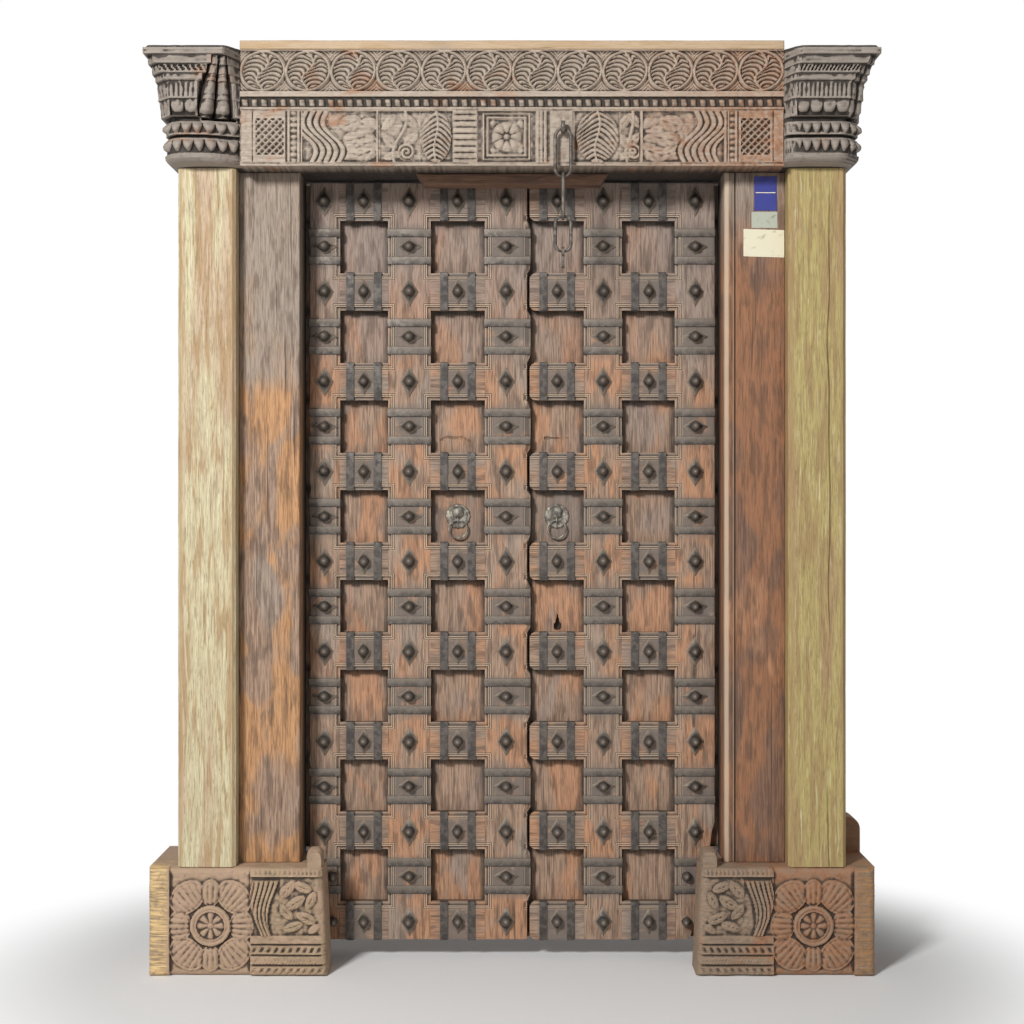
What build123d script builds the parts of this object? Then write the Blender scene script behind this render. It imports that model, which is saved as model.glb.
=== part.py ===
from build123d import *
import math
import os

# A pair of spiked gate leaves in a carved timber frame. Millimetres, +Z up, front towards -Y.
# The origin is the middle of the gate on the floor.

# Opening and frame timbers
opening_width = 1056.0
jamb_width = 152.0
jamb_length = 1718.0
jamb_bead_width = 24.0
jamb_groove_width = 5.0
jamb_groove_depth = 6.0
pilaster_width = 142.0
pilaster_chamfer = 8.0

# Depths measured back from the face of the plinths
pilaster_set_back = 15.0
jamb_set_back = 70.0
frame_depth = 212.0
beam_overhang = 20.0
capital_overhang = 90.0
leaf_set_back = 180.0

# Plinths
plinth_height = 267.0
plinth_depth = 290.0
plinth_side_margin = 70.0
plinth_inner_margin = 10.0
plinth_nose_width = 65.0
plinth_nose_depth = 120.0
plinth_relief = 12.0
plinth_plain_strip = 50.0
plinth_band_height = 22.0
plinth_band_step = 5.0
plinth_band_count = 3
plinth_ear_width = 42.0
plinth_ear_height = 45.0
plinth_ear_depth = 60.0
rosette_radius = 52.0
rosette_rim = 12.0
rosette_boss_radius = 20.0
rosette_petal_length = 60.0
rosette_petal_width = 46.0
rosette_petal_count = 8
disc_sides = 12
curl_sides = 7
plume_radius = 34.0
plume_width = 15.0
stub_width = 62.0
stub_depth = 80.0
stub_height = 90.0

# Beams over the opening
head_beam_height = 143.0
bead_band_height = 26.0
fillet_height = 12.0
frieze_height = 102.0
cap_board_height = 22.0
cap_board_overhang = 6.0
carving_depth = 10.0
panel_border = 11.0
bead_count = 57
bead_groove_depth = 9.0
oval_count = 12
oval_line = 8.0
oval_margin = 2.0
midrib_width = 9.0
midrib_lean = 18.0
oval_sides = 10
lattice_panel_width = 84.0
scroll_panel_width = 195.0
centre_panel_width = 168.0
lozenge_rows = 3
lozenge_gap = 2.0
scroll_line = 12.0
scroll_radius = 32.0
fan_length = 52.0
fan_leaf_width = 26.0
fan_leaf_count = 5
flower_radius = 16.0
flower_petal_length = 32.0
flower_petal_width = 22.0
stop_block_length = 480.0
stop_block_height = 28.0
stop_block_depth = 60.0
stop_block_splay = 18.0
stop_block_clearance = 2.0

# Capitals
capital_width = 224.0
capital_height = 283.0
abacus_height = 18.0
tier_count = 4
tier_height = 36.0
tier_step = 8.0
splay_width = 58.0
lobe_radius = 19.0
lobe_length = 120.0
petal_row_count = 2
petal_row_height = 36.0
petal_row_step = 7.0
petal_width = 40.0
petal_depth = 14.0
lobe_sides = 8

# Leaves: lattice in front, planks behind it and ledges at the back
leaf_side_gap = 12.0
leaf_head_gap = 9.0
leaf_floor_gap = 50.0
plank_thickness = 40.0
ledge_thickness = 30.0
ledge_height = 90.0
ledge_end_margin = 12.0
leaf_frame_clearance = 3.0
rail_count = 9
rail_height = 94.0
left_hinge_stile_width = 77.0
left_middle_stile_width = 108.0
left_meeting_stile_width = 107.0
right_middle_stile_width = 96.0
right_hinge_stile_width = 100.0
left_outer_recess_share = 0.47
right_outer_recess_share = 0.495
meeting_line = 41.5
meeting_gap = 7.0
meeting_wave = 9.0
strap_end_margin = 8.0
broken_edge_rise = 285.0
broken_edge_width = 60.0

# Pivots
pivot_lap = 17.0
pivot_pin_radius = 15.0
pivot_top_length = 40.0
pivot_cup_depth = 25.0
pivot_cup_wall = 7.0
pivot_cup_floor = 8.0
pivot_clearance = 0.4
heel_clearance = 13.0
corner_notch = 56.0
pivot_rail_height = 75.0
pivot_rail_depth = 63.0
pivot_rail_end = 50.0

# Iron on the leaves
strap_width = 20.0
strap_thickness = 3.0
strap_spacing = 70.0
plate_length = 74.0
plate_breadth = 44.0
mid_plate_length = 66.0
mid_plate_breadth = 40.0
plate_height = 6.0
spike_radius = 11.0
spike_shoulder_height = 12.0
spike_height = 27.0
spike_sides = 4

# Ring pulls
pull_plate_radius = 31.0
pull_plate_thickness = 4.0
pull_dome_radius = 15.0
pull_dome_height = 12.0
pull_sides = 12
pull_dome_rise = 10.0
pull_lug_width = 8.0
pull_lug_drop = 10.0
pull_lug_reach = 9.0
pull_lug_wall = 3.5
ring_radius = 23.0
ring_bar = 5.5
ring_clearance = 0.8
ring_floor_gap = 8.75

# Chain
chain_offset = 124.0
staple_height = 90.0
staple_eye_radius = 13.0
staple_shank_radius = 5.0
staple_shank_length = 60.0
chain_bar = 7.0
chain_width = 44.0
first_link_length = 122.0
second_link_length = 118.0
third_link_length = 94.0
hasp_length = 56.0
hasp_width = 26.0
chain_play = 1.0
bar_sides = 6
bend_steps = 6

# Shares that set the form of small details
plate_top_share = 0.6
lozenge_tip_share = 0.3
spike_shoulder_share = 0.82
dome_profile_shares = ((1.0, 0.0), (0.92, 0.45), (0.6, 0.85))
rosette_rise_share = 0.48
petal_tip_share = 0.55
petal_half_shares = ((0.0, -0.5), (1.0, -0.2), (1.0, 0.2), (0.0, 0.5))
almond_shares = (
    (0.0, 0.12), (0.45, 0.5), (0.8, 0.32), (1.0, 0.0), (0.8, -0.32), (0.45, -0.5), (0.0, -0.12),
)
ledge_level_shares = (0.09, 0.5, 0.91)
lobe_place_shares = (0.2, 0.75)
lobe_foot_share = 0.35
bowl_rise_shares = (0.0, 0.45, 1.0)
bowl_swell_shares = (0.0, 0.8, 1.0)
hasp_tail_share = 0.7

# How far a cutting shape runs past the wood that it cuts
overrun = 5.0

# Planes worked out from the depths
plinth_front = -(plinth_depth - capital_overhang) / 2
pilaster_front = plinth_front + pilaster_set_back
jamb_front = plinth_front + jamb_set_back
frame_back = plinth_front + frame_depth
beam_front = plinth_front - beam_overhang
capital_front = plinth_front - capital_overhang
lattice_front = plinth_front + leaf_set_back
plank_front = frame_back + leaf_frame_clearance
lattice_back = plank_front
lattice_thickness = lattice_back - lattice_front
plank_back = plank_front + plank_thickness
lap_plane = lattice_front + lattice_thickness / 2

# Places across the gate, measured from its middle
opening_half = opening_width / 2
jamb_outer = opening_half + jamb_width
pilaster_outer = jamb_outer + pilaster_width
plinth_outer = pilaster_outer + plinth_side_margin
plinth_inner = opening_half - plinth_inner_margin
nose_inner = plinth_inner - plinth_nose_width
capital_inner = jamb_outer - pilaster_chamfer * 2
leaf_edge = opening_half - leaf_side_gap
pivot_x = opening_half + pivot_lap
pivot_y = (plank_front + plank_back) / 2
notch_x = opening_half - corner_notch

# Levels above the floor
jamb_top = plinth_height + jamb_length
head_top = jamb_top + head_beam_height
bead_top = head_top + bead_band_height
fillet_top = bead_top + fillet_height
cornice_top = fillet_top + frieze_height
leaf_top = jamb_top - leaf_head_gap
leaf_bottom = leaf_floor_gap
heel_bottom = plinth_height + heel_clearance
rail_pitch = (leaf_top - leaf_bottom - rail_height) / (rail_count - 1)
rail_levels = [leaf_top - rail_height / 2 - rail_pitch * row for row in range(rail_count)]
recess_levels = [level - rail_pitch / 2 for level in rail_levels[:-1]]
recess_half = (rail_pitch - rail_height) / 2
pull_row = rail_count // 2 - 1
pull_drop = pull_lug_drop + 2 * ring_radius + ring_bar / 2
pull_level = recess_levels[pull_row] - recess_half + ring_floor_gap + pull_drop

# Columns of the leaves: (low X, high X) of each stile and recess
left_meeting_edge = meeting_line - meeting_gap / 2
right_meeting_edge = meeting_line + meeting_gap / 2
left_recess_total = (
    leaf_edge + left_meeting_edge
    - left_hinge_stile_width - left_middle_stile_width - left_meeting_stile_width
)
right_recess_total = (
    leaf_edge - right_meeting_edge - right_middle_stile_width - right_hinge_stile_width
)


def columns(start, widths):
    """Spans laid one after another from a starting place."""
    spans = []
    for width in widths:
        spans.append((start, start + width))
        start = start + width
    return spans


left_columns = columns(-leaf_edge, [
    left_hinge_stile_width,
    left_recess_total * left_outer_recess_share,
    left_middle_stile_width,
    left_recess_total * (1 - left_outer_recess_share),
    left_meeting_stile_width,
])
right_columns = columns(right_meeting_edge, [
    right_recess_total * (1 - right_outer_recess_share),
    right_middle_stile_width,
    right_recess_total * right_outer_recess_share,
    right_hinge_stile_width,
])
left_stiles = left_columns[0::2]
left_recesses = left_columns[1::2]
right_recesses = right_columns[0::2]
right_stiles = right_columns[1::2]

LOW = (Align.MIN, Align.MIN, Align.MIN)
FORWARD = (0, -1, 0)


def block(x_span, y_span, z_span):
    """A squared timber between two planes along each axis."""
    size = Box(x_span[1] - x_span[0], y_span[1] - y_span[0], z_span[1] - z_span[0], align=LOW)
    return Pos(x_span[0], y_span[0], z_span[0]) * size


def flat_piece(points, back, thickness):
    """A flat piece with an outline of (X, Z) points, standing forward of the plane at its back."""
    return extrude(Plane.XZ.offset(-back) * Polygon(*points, align=None), thickness, dir=FORWARD)


def raised(sketch, x, z, back, thickness):
    """A flat sketch set upright on the plane at its back, centred on (x, z) and raised to the front."""
    return extrude(Plane.XZ.offset(-back) * Pos(x, z) * sketch, thickness, dir=FORWARD)


def forward_rod(radius, x, z, back, length, sides=disc_sides):
    """A many-sided rod from the plane at its back towards the front."""
    return raised(RegularPolygon(radius, sides), x, z, back, length)


def faceted(rings, closed=False, tip=None):
    """A solid of flat facets between rings of points, with capped ends, a tip or a closed loop."""
    faces = []
    followers = rings[1:] + rings[:1] if closed else rings[1:]
    for ring, following in zip(rings, followers):
        for number in range(len(ring)):
            corners = [ring[number - 1], ring[number], following[number], following[number - 1]]
            faces.append(Face(Wire.make_polygon(corners)))
    if not closed:
        faces.append(Face(Wire.make_polygon(rings[0])))
    if tip:
        last = rings[-1]
        faces = faces + [Face(Wire.make_polygon([last[n - 1], last[n], tip])) for n in range(len(last))]
    elif not closed:
        faces.append(Face(Wire.make_polygon(rings[-1])))
    return Solid(Shell(faces))


def turned_ring(radius, forward, sides):
    """Corners of one course of a many-sided boss that stands forward of the origin."""
    step = 2 * math.pi / sides
    return [(radius * math.cos(n * step), -forward, radius * math.sin(n * step)) for n in range(sides)]


def bar_loop(stations, bar):
    """A closed loop of many-sided bar in the plane of the gate, through (x, z, outward angle) stations."""
    rings = []
    for x, z, angle in stations:
        ring = []
        for number in range(bar_sides):
            turn = 2 * math.pi * number / bar_sides
            out = bar / 2 * math.cos(turn)
            ring.append((x + out * math.cos(angle), bar / 2 * math.sin(turn), z + out * math.sin(angle)))
        rings.append(ring)
    return faceted(rings, closed=True)


def mirrored(solid):
    return mirror(solid, about=Plane.YZ)


def save(name, *solids):
    shape = solids[0] if len(solids) == 1 else Compound(children=list(solids))
    export_step(shape, f"parts/{name}.step")


# Frame


def jamb():
    """Right jamb: a squared post with a bead run along its inner edge."""
    post = block((opening_half, jamb_outer), (jamb_front, frame_back), (plinth_height, jamb_top))
    groove_start = opening_half + jamb_bead_width
    groove = block(
        (groove_start, groove_start + jamb_groove_width),
        (jamb_front - overrun, jamb_front + jamb_groove_depth),
        (plinth_height - overrun, jamb_top + overrun),
    )
    return post - groove


def pilaster():
    """Right pilaster: a squared post with chamfered front arrises."""
    post = block((jamb_outer, pilaster_outer), (pilaster_front, frame_back), (plinth_height, jamb_top))
    front_edges = post.edges().filter_by(Axis.Z).group_by(Axis.Y)[0]
    return chamfer(front_edges, pilaster_chamfer)


def almond(start, length, width):
    """A pointed leaf outline that begins at a distance from its centre of turning."""
    points = [(start + along * length, across * width) for along, across in almond_shares]
    return Polygon(*points, align=None)


def rosette(x, z, back):
    """An eight-petalled flower round a dished disc with a boss."""
    disc = forward_rod(rosette_radius, x, z, back, plinth_relief)
    dish = forward_rod(rosette_radius - rosette_rim, x, z, back - plinth_relief / 2, plinth_relief)
    boss = forward_rod(rosette_boss_radius, x, z, back - plinth_relief / 2, plinth_relief / 2)
    leaf = almond(rosette_radius - rosette_rim, rosette_petal_length + rosette_rim, rosette_petal_width)
    turn = 360 / rosette_petal_count
    petals = [
        raised(Rot(0, 0, number * turn) * leaf, x, z, back, plinth_relief)
        for number in range(rosette_petal_count)
    ]
    return disc + petals - dish + boss


def ring_sector(radius, width, start, end):
    """A bent band: the part of a flat ring between two angles, in short straight courses."""
    angles = [math.radians(start + (end - start) * n / curl_sides) for n in range(curl_sides + 1)]
    outer = [((radius + width / 2) * math.cos(a), (radius + width / 2) * math.sin(a)) for a in angles]
    inner = [((radius - width / 2) * math.cos(a), (radius - width / 2) * math.sin(a)) for a in angles]
    return Polygon(*outer, *reversed(inner), align=None)


def plume(x, z, back):
    """A curled plume: two bent bands that meet in an S."""
    lower = ring_sector(plume_radius, plume_width, -180, 90)
    upper = ring_sector(plume_radius, plume_width, 0, -270)
    shapes = []
    for sketch, rise in ((lower, -plume_radius), (upper, plume_radius)):
        shapes.append(raised(sketch, x, z + rise, back, plinth_relief))
    return shapes


def plinth():
    """Right plinth: a carved block with a nose that laps in front of the leaf."""
    relief_plane = plinth_front + plinth_relief
    strip_inner = plinth_outer - plinth_plain_strip
    levels = (0, plinth_height)
    body = block((plinth_inner, plinth_outer), (relief_plane, plinth_front + plinth_depth), levels)
    nose = block((nose_inner, plinth_inner), (relief_plane, plinth_front + plinth_nose_depth), levels)
    strip = block((strip_inner, plinth_outer), (plinth_front, relief_plane), levels)
    ear = block(
        (nose_inner + plinth_relief, nose_inner + plinth_relief + plinth_ear_width),
        (relief_plane, relief_plane + plinth_ear_depth),
        (plinth_height, plinth_height + plinth_ear_height),
    )
    ear = chamfer(ear.edges().filter_by(Axis.Y).group_by(Axis.Z)[-1], plinth_ear_width / 3)
    flower_x = (jamb_outer + strip_inner) / 2
    flower = rosette(flower_x, plinth_height * rosette_rise_share, relief_plane)
    flower_edge = flower_x - rosette_radius - rosette_petal_length
    bands = []
    for number in range(plinth_band_count):
        level = number * plinth_band_height
        face = relief_plane - plinth_relief + number * plinth_band_step / 2
        band_levels = (level, level + plinth_band_height)
        bands.append(block((nose_inner, flower_edge), (face, relief_plane), band_levels))
    plume_z = plinth_band_count * plinth_band_height + 2 * plume_radius + plume_width / 2
    scroll = plume((nose_inner + flower_edge) / 2, plume_z, relief_plane)
    keep = block(
        (nose_inner, plinth_outer), (plinth_front, plinth_front + plinth_depth),
        (0, plinth_height + plinth_ear_height),
    )
    carved = body + [nose, strip, ear, flower] + bands + scroll
    return (carved & keep) - cup_seat(pivot_x)


def cup_seat(x):
    """The round pocket in a plinth's top that takes a pivot cup."""
    depth = pivot_cup_depth + pivot_cup_floor
    return Pos(x, pivot_y, plinth_height - depth) * Cylinder(
        pivot_pin_radius + pivot_cup_wall, depth + overrun, align=(Align.CENTER, Align.CENTER, Align.MIN)
    )


def rear_stub():
    """A short upstand at the outer rear corner of the right plinth."""
    back = plinth_front + plinth_depth
    stub = block(
        (plinth_outer - stub_width, plinth_outer), (back - stub_depth, back),
        (plinth_height, plinth_height + stub_height),
    )
    outer = stub.edges().filter_by(Axis.Y).group_by(Axis.Z)[-1].sort_by(Axis.X)[-1]
    return chamfer(outer, stub_width / 3)


def pivot_cup(x):
    """An iron cup let into a plinth, open at the top for the pivot pin."""
    depth = pivot_cup_depth + pivot_cup_floor
    base = (Align.CENTER, Align.CENTER, Align.MIN)
    cup = Cylinder(pivot_pin_radius + pivot_cup_wall - pivot_clearance / 2, depth, align=base)
    bore = Pos(0, 0, pivot_cup_floor) * Cylinder(pivot_pin_radius + pivot_clearance, depth, align=base)
    return Pos(x, pivot_y, plinth_height - depth) * (cup - bore)


def capital(low_x):
    """A stepped and splayed bracket over a lotus bowl, its lobed splay on the +X side."""
    high_x = low_x + capital_width
    top = jamb_top + capital_height
    abacus_bottom = top - abacus_height
    abacus = block((low_x, high_x), (capital_front, frame_back), (abacus_bottom, top))
    pieces = []
    level = abacus_bottom
    for number in range(tier_count):
        inset = (number + 1) * tier_step
        plan = Polygon(
            (low_x + inset, capital_front + inset),
            (high_x - splay_width - inset, capital_front + inset),
            (high_x - inset / 2, beam_front),
            (high_x - inset / 2, frame_back),
            (low_x + inset, frame_back),
            align=None,
        )
        pieces.append(Pos(0, 0, level - tier_height) * extrude(plan, tier_height))
        level = level - tier_height
    inset = tier_count * tier_step
    pieces = pieces + lobes(high_x, abacus_bottom, inset)
    for number in range(petal_row_count):
        inset = inset - petal_row_step if number else inset
        pieces = pieces + petal_row(low_x + inset, high_x - inset, capital_front + inset, level)
        level = level - petal_row_height
    pieces.append(bowl(low_x + inset, high_x - inset, capital_front + inset, level))
    return abacus + pieces


def lobes(high_x, top, inset):
    """Two upright ribs with tapered feet on the splayed corner of a capital."""
    ribs = []
    section = RegularPolygon(lobe_radius, lobe_sides)
    foot = scale(section, lobe_foot_share)
    for share in lobe_place_shares:
        x = high_x - splay_width - inset + share * (splay_width + inset / 2)
        y = capital_front + inset + share * (beam_front - capital_front - inset)
        levels = (top - lobe_length - lobe_radius, top - lobe_length, top)
        sections = [Pos(x, y, level) * outline for level, outline in zip(levels, (foot, section, section))]
        ribs.append(loft(sections, ruled=True))
    return ribs


def petal_row(x0, x1, y0, top):
    """A slab with a row of lotus petals along its front and its outer side."""
    petals = [block((x0, x1), (y0, frame_back), (top - petal_row_height, top))]
    count = int((x1 - x0) // petal_width)
    pitch = (x1 - x0) / count
    for number in range(count):
        petals.append(petal((x0 + (number + 0.5) * pitch, y0), -90, pitch, top))
    side_length = frame_back - y0
    count = int(side_length // petal_width)
    pitch = side_length / count
    side_x, turn = (x1, 0) if x0 > 0 else (x0, 180)
    for number in range(count):
        petals.append(petal((side_x, y0 + (number + 0.5) * pitch), turn, pitch, top))
    return petals


def petal(place, turn, width, top):
    """One petal: a half-hexagon in plan, hollowed under its tip."""
    outline = [(out * petal_depth / 2, across * width) for out, across in petal_half_shares]
    plan = Pos(*place) * Rot(0, 0, turn) * Polygon(*outline, align=None)
    height = petal_row_height * petal_tip_share
    return Pos(0, 0, top - height) * extrude(plan, height)


def bowl(x0, x1, y0, top):
    """The plain swelling bowl between the pilaster and the petals, in a few straight courses."""
    height = top - jamb_top
    on_right = x0 > 0
    foot_x = (jamb_outer, pilaster_outer) if on_right else (-pilaster_outer, -jamb_outer)
    sections = []
    for rise, swell in zip(bowl_rise_shares, bowl_swell_shares):
        low = foot_x[0] + (x0 - foot_x[0]) * swell
        high = foot_x[1] + (x1 - foot_x[1]) * swell
        front = pilaster_front + (y0 - pilaster_front) * swell
        outline = Polygon((low, front), (high, front), (high, frame_back), (low, frame_back), align=None)
        sections.append(Pos(0, 0, jamb_top + rise * height) * outline)
    return loft(sections, ruled=True)


def framed_panel(x_span, z_span, back):
    """A raised border round a sunk field."""
    width = x_span[1] - x_span[0]
    height = z_span[1] - z_span[0]
    border = Rectangle(width, height) - Rectangle(width - panel_border * 2, height - panel_border * 2)
    return raised(border, sum(x_span) / 2, sum(z_span) / 2, back, carving_depth)


def lozenges(x_span, z_span, back):
    """A field of small four-sided points set on their corners, inside a framed panel."""
    pitch_x = (x_span[1] - x_span[0] - panel_border * 2) / lozenge_rows
    pitch_z = (z_span[1] - z_span[0] - panel_border * 2) / lozenge_rows
    half_x = (pitch_x - lozenge_gap) / 2
    half_z = (pitch_z - lozenge_gap) / 2
    points = []
    for column in range(lozenge_rows):
        for row in range(lozenge_rows):
            x = x_span[0] + panel_border + (column + 0.5) * pitch_x
            z = z_span[0] + panel_border + (row + 0.5) * pitch_z
            courses = ((1, -panel_border / 2), (1, 0), (lozenge_tip_share, carving_depth))
            rings = [lozenge_ring(half_x * share, half_z * share, forward) for share, forward in courses]
            points.append(Pos(x, back, z) * faceted(rings))
    return points


def lozenge_ring(half_x, half_z, forward):
    """Corners of one course of a lozenge that stands forward of the origin."""
    return [(half_x, -forward, 0), (0, -forward, half_z), (-half_x, -forward, 0), (0, -forward, -half_z)]


def scroll(x, z, back, hand):
    """A pair of curls that meet in an S, for one panel of the head beam."""
    bands = []
    for side in (-1, 1):
        start = 180 if side * hand > 0 else 0
        band = ring_sector(scroll_radius, scroll_line, start, start + 270 * hand)
        bands.append(raised(band, x + side * scroll_radius, z, back, carving_depth))
        bands.append(forward_rod(scroll_line, x + side * scroll_radius, z, back, carving_depth))
    return bands


def fan(x, z, back, lean):
    """A palm fan: leaves spread about an upright that leans to one side."""
    leaf = almond(scroll_line, fan_length, fan_leaf_width)
    spread = 180 / fan_leaf_count
    first = lean - spread * (fan_leaf_count - 1) / 2
    return [
        raised(Rot(0, 0, first + number * spread) * leaf, x, z, back, carving_depth)
        for number in range(fan_leaf_count)
    ] + [forward_rod(scroll_line * 2, x, z, back, carving_depth / 2)]


def panel_flower(x, z, back):
    """The flower of the middle panel."""
    leaf = almond(flower_radius / 2, flower_petal_length + flower_radius / 2, flower_petal_width)
    turn = 360 / rosette_petal_count
    petals = [
        raised(Rot(0, 0, number * turn) * leaf, x, z, back, carving_depth)
        for number in range(rosette_petal_count)
    ]
    return petals + [forward_rod(flower_radius, x, z, back, carving_depth)]


def head_beam():
    """The lower beam: lattice panels at its ends, scrolls and fans, and a flower panel in the middle."""
    ground = beam_front + carving_depth
    beam = block((-capital_inner, capital_inner), (ground, frame_back), (jamb_top, head_top))
    levels = (jamb_top, head_top)
    middle = (jamb_top + head_top) / 2
    scroll_outer = capital_inner - lattice_panel_width
    scroll_inner = scroll_outer - scroll_panel_width
    half = centre_panel_width / 2
    carving = [framed_panel((-half, half), levels, ground)] + panel_flower(0, middle, ground)
    for side in (-1, 1):
        end_span = sorted((side * capital_inner, side * scroll_outer))
        scroll_span = sorted((side * scroll_outer, side * scroll_inner))
        carving = carving + [framed_panel(span, levels, ground) for span in (end_span, scroll_span)]
        carving = carving + lozenges(end_span, levels, ground)
        carving = carving + scroll(sum(scroll_span) / 2, middle, ground, side)
        carving = carving + scroll(side * (scroll_inner - 2 * scroll_radius), middle, ground, -side)
        carving = carving + fan(side * (half + fan_length), middle - fan_length / 2, ground, 90)
    staple_base = block(
        (chain_offset - staple_eye_radius, chain_offset + staple_eye_radius), (beam_front, ground), levels
    )
    return beam + carving + staple_base - staple_hole()


def staple_hole():
    """The bore for the chain staple's shank."""
    radius = staple_shank_radius + pivot_clearance / 2
    length = staple_shank_length + pivot_clearance
    return forward_rod(radius, chain_offset, jamb_top + staple_height, beam_front + length, length + overrun)


def cornice_beam():
    """The upper beam: a bead course under a fillet and a frieze of linked ovals."""
    ground = beam_front + carving_depth
    span = (-capital_inner, capital_inner)
    beam = block(span, (ground, frame_back), (head_top, cornice_top))
    fillet = block(span, (beam_front, ground), (bead_top, fillet_top))
    pitch = 2 * capital_inner / bead_count
    course = block(span, (beam_front, ground), (head_top, bead_top))
    grooves = []
    for number in range(1, bead_count):
        x = -capital_inner + number * pitch
        groove = Polygon(
            (x - pitch / 4, beam_front - overrun), (x + pitch / 4, beam_front - overrun),
            (x, beam_front + bead_groove_depth), align=None,
        )
        grooves.append(Pos(0, 0, head_top - overrun) * extrude(groove, bead_band_height + overrun))
    course = course - grooves
    return beam + [fillet, course] + oval_frieze(ground)


def oval(half_x, half_z):
    """An ellipse in short straight courses."""
    step = 2 * math.pi / oval_sides
    points = [(half_x * math.cos(n * step), half_z * math.sin(n * step)) for n in range(oval_sides)]
    return Polygon(*points, align=None)


def oval_frieze(ground):
    """Overlapping ovals, each a ring round a leaning leaf."""
    pitch = (2 * capital_inner - 2 * oval_margin - oval_line) / oval_count
    middle = (fillet_top + cornice_top) / 2
    half_x = (pitch + oval_line) / 2
    half_z = frieze_height / 2 - oval_margin
    ring = oval(half_x, half_z) - oval(half_x - oval_line, half_z - oval_line)
    leaf_length = 2 * (half_z - oval_line * 2)
    leaf = Rot(0, 0, 90) * almond(-leaf_length / 2, leaf_length, pitch / 2)
    vein = Rectangle(midrib_width, leaf_length)
    ovals = []
    for number in range(oval_count):
        x = -capital_inner + oval_margin + oval_line / 2 + (number + 0.5) * pitch
        lean = Rot(0, 0, -midrib_lean if number % 2 else midrib_lean)
        ovals.append(raised(ring, x, middle, ground, carving_depth))
        ovals.append(raised(lean * leaf, x, middle, ground, carving_depth / 2))
        ovals.append(raised(lean * vein, x, middle, ground, carving_depth))
    return ovals


def cap_board():
    """The raw board on top of the beams."""
    return block(
        (-capital_inner, capital_inner), (beam_front - cap_board_overhang, frame_back),
        (cornice_top, cornice_top + cap_board_height),
    )


def door_stop_block():
    """The splayed block under the head beam that the leaves close behind."""
    half = stop_block_length / 2
    outline = [
        (-half, jamb_top), (half, jamb_top),
        (half - stop_block_splay, jamb_top - stop_block_height),
        (-half + stop_block_splay, jamb_top - stop_block_height),
    ]
    back = lattice_front - plate_height - spike_height - stop_block_clearance
    return flat_piece(outline, back, stop_block_depth)


def pivot_rail():
    """The rail behind the head beam that holds the upper pivots."""
    half = pivot_x + pivot_rail_end
    rail_back = frame_back + pivot_rail_depth
    rail = block((-half, half), (frame_back, rail_back), (jamb_top, jamb_top + pivot_rail_height))
    for x in (-pivot_x, pivot_x):
        rail = rail - upper_pin(x, pivot_pin_radius + pivot_clearance, pivot_top_length + pivot_clearance)
    return rail


def upper_pin(x, radius, length):
    """A pivot pin that stands on a leaf's heel."""
    base = (Align.CENTER, Align.CENTER, Align.MIN)
    return Pos(x, pivot_y, leaf_top) * Cylinder(radius, length, align=base)


# Leaves


def broken_edge():
    """What is lost from the lower outer corner of the right leaf's lattice."""
    outline = [
        (leaf_edge + overrun, leaf_bottom + broken_edge_rise),
        (leaf_edge + overrun, leaf_bottom - overrun),
        (leaf_edge - broken_edge_width, leaf_bottom - overrun),
    ]
    return flat_piece(outline, lattice_back + overrun, lattice_thickness + overrun * 2)


def corner_cut(side):
    """What is cut from a leaf's lower outer corner so that it swings clear of its plinth."""
    low, high = sorted((side * notch_x, side * (pivot_x + plank_thickness)))
    depth = (lattice_front - overrun, plank_back + overrun)
    return block((low, high), depth, (leaf_bottom - overrun, heel_bottom))


def stile(span):
    """An upright of the lattice, halved over the rails."""
    upright = block(span, (lattice_front, lattice_back), (leaf_bottom, leaf_top))
    wide = (span[0] - overrun, span[1] + overrun)
    halving = (lap_plane, lattice_back + overrun)
    half = rail_height / 2
    return upright - [block(wide, halving, (level - half, level + half)) for level in rail_levels]


def meeting_waves():
    """Bulges of the left meeting stile that reach past the right leaf's rail ends."""
    bulges = []
    for level in recess_levels:
        outline = [
            (left_meeting_edge, level - recess_half),
            (left_meeting_edge + meeting_wave, level - recess_half + meeting_wave),
            (left_meeting_edge + meeting_wave, level + recess_half - meeting_wave),
            (left_meeting_edge, level + recess_half),
        ]
        bulges.append(flat_piece(outline, lattice_back, lattice_thickness))
    return bulges


def rail(span, level, stiles):
    """A cross-piece of the lattice, halved behind the stiles."""
    low = level - rail_height / 2
    high = level + rail_height / 2
    bar = block(span, (lattice_front, lattice_back), (low, high))
    halving = (lattice_front - overrun, lap_plane)
    return bar - [block(edges, halving, (low - overrun, high + overrun)) for edges in stiles]


def hinge_plank(side, joint_x):
    """The plank with the rounded heel and both pivot pins, cut away over its plinth."""
    low, high = sorted((side * pivot_x, joint_x))
    board = block((low, high), (plank_front, plank_back), (leaf_bottom, leaf_top))
    heel = Pos(side * pivot_x, pivot_y, leaf_bottom) * Cylinder(
        plank_thickness / 2, leaf_top - leaf_bottom, align=(Align.CENTER, Align.CENTER, Align.MIN)
    )
    pin_length = heel_clearance + pivot_cup_depth - pivot_clearance
    lower_pin = Pos(side * pivot_x, pivot_y, heel_bottom) * Cylinder(
        pivot_pin_radius, pin_length, align=(Align.CENTER, Align.CENTER, Align.MAX)
    )
    shaped = board + heel - corner_cut(side)
    return shaped + [lower_pin, upper_pin(side * pivot_x, pivot_pin_radius, pivot_top_length)]


def plank(span):
    return block(span, (plank_front, plank_back), (leaf_bottom, leaf_top))


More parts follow.
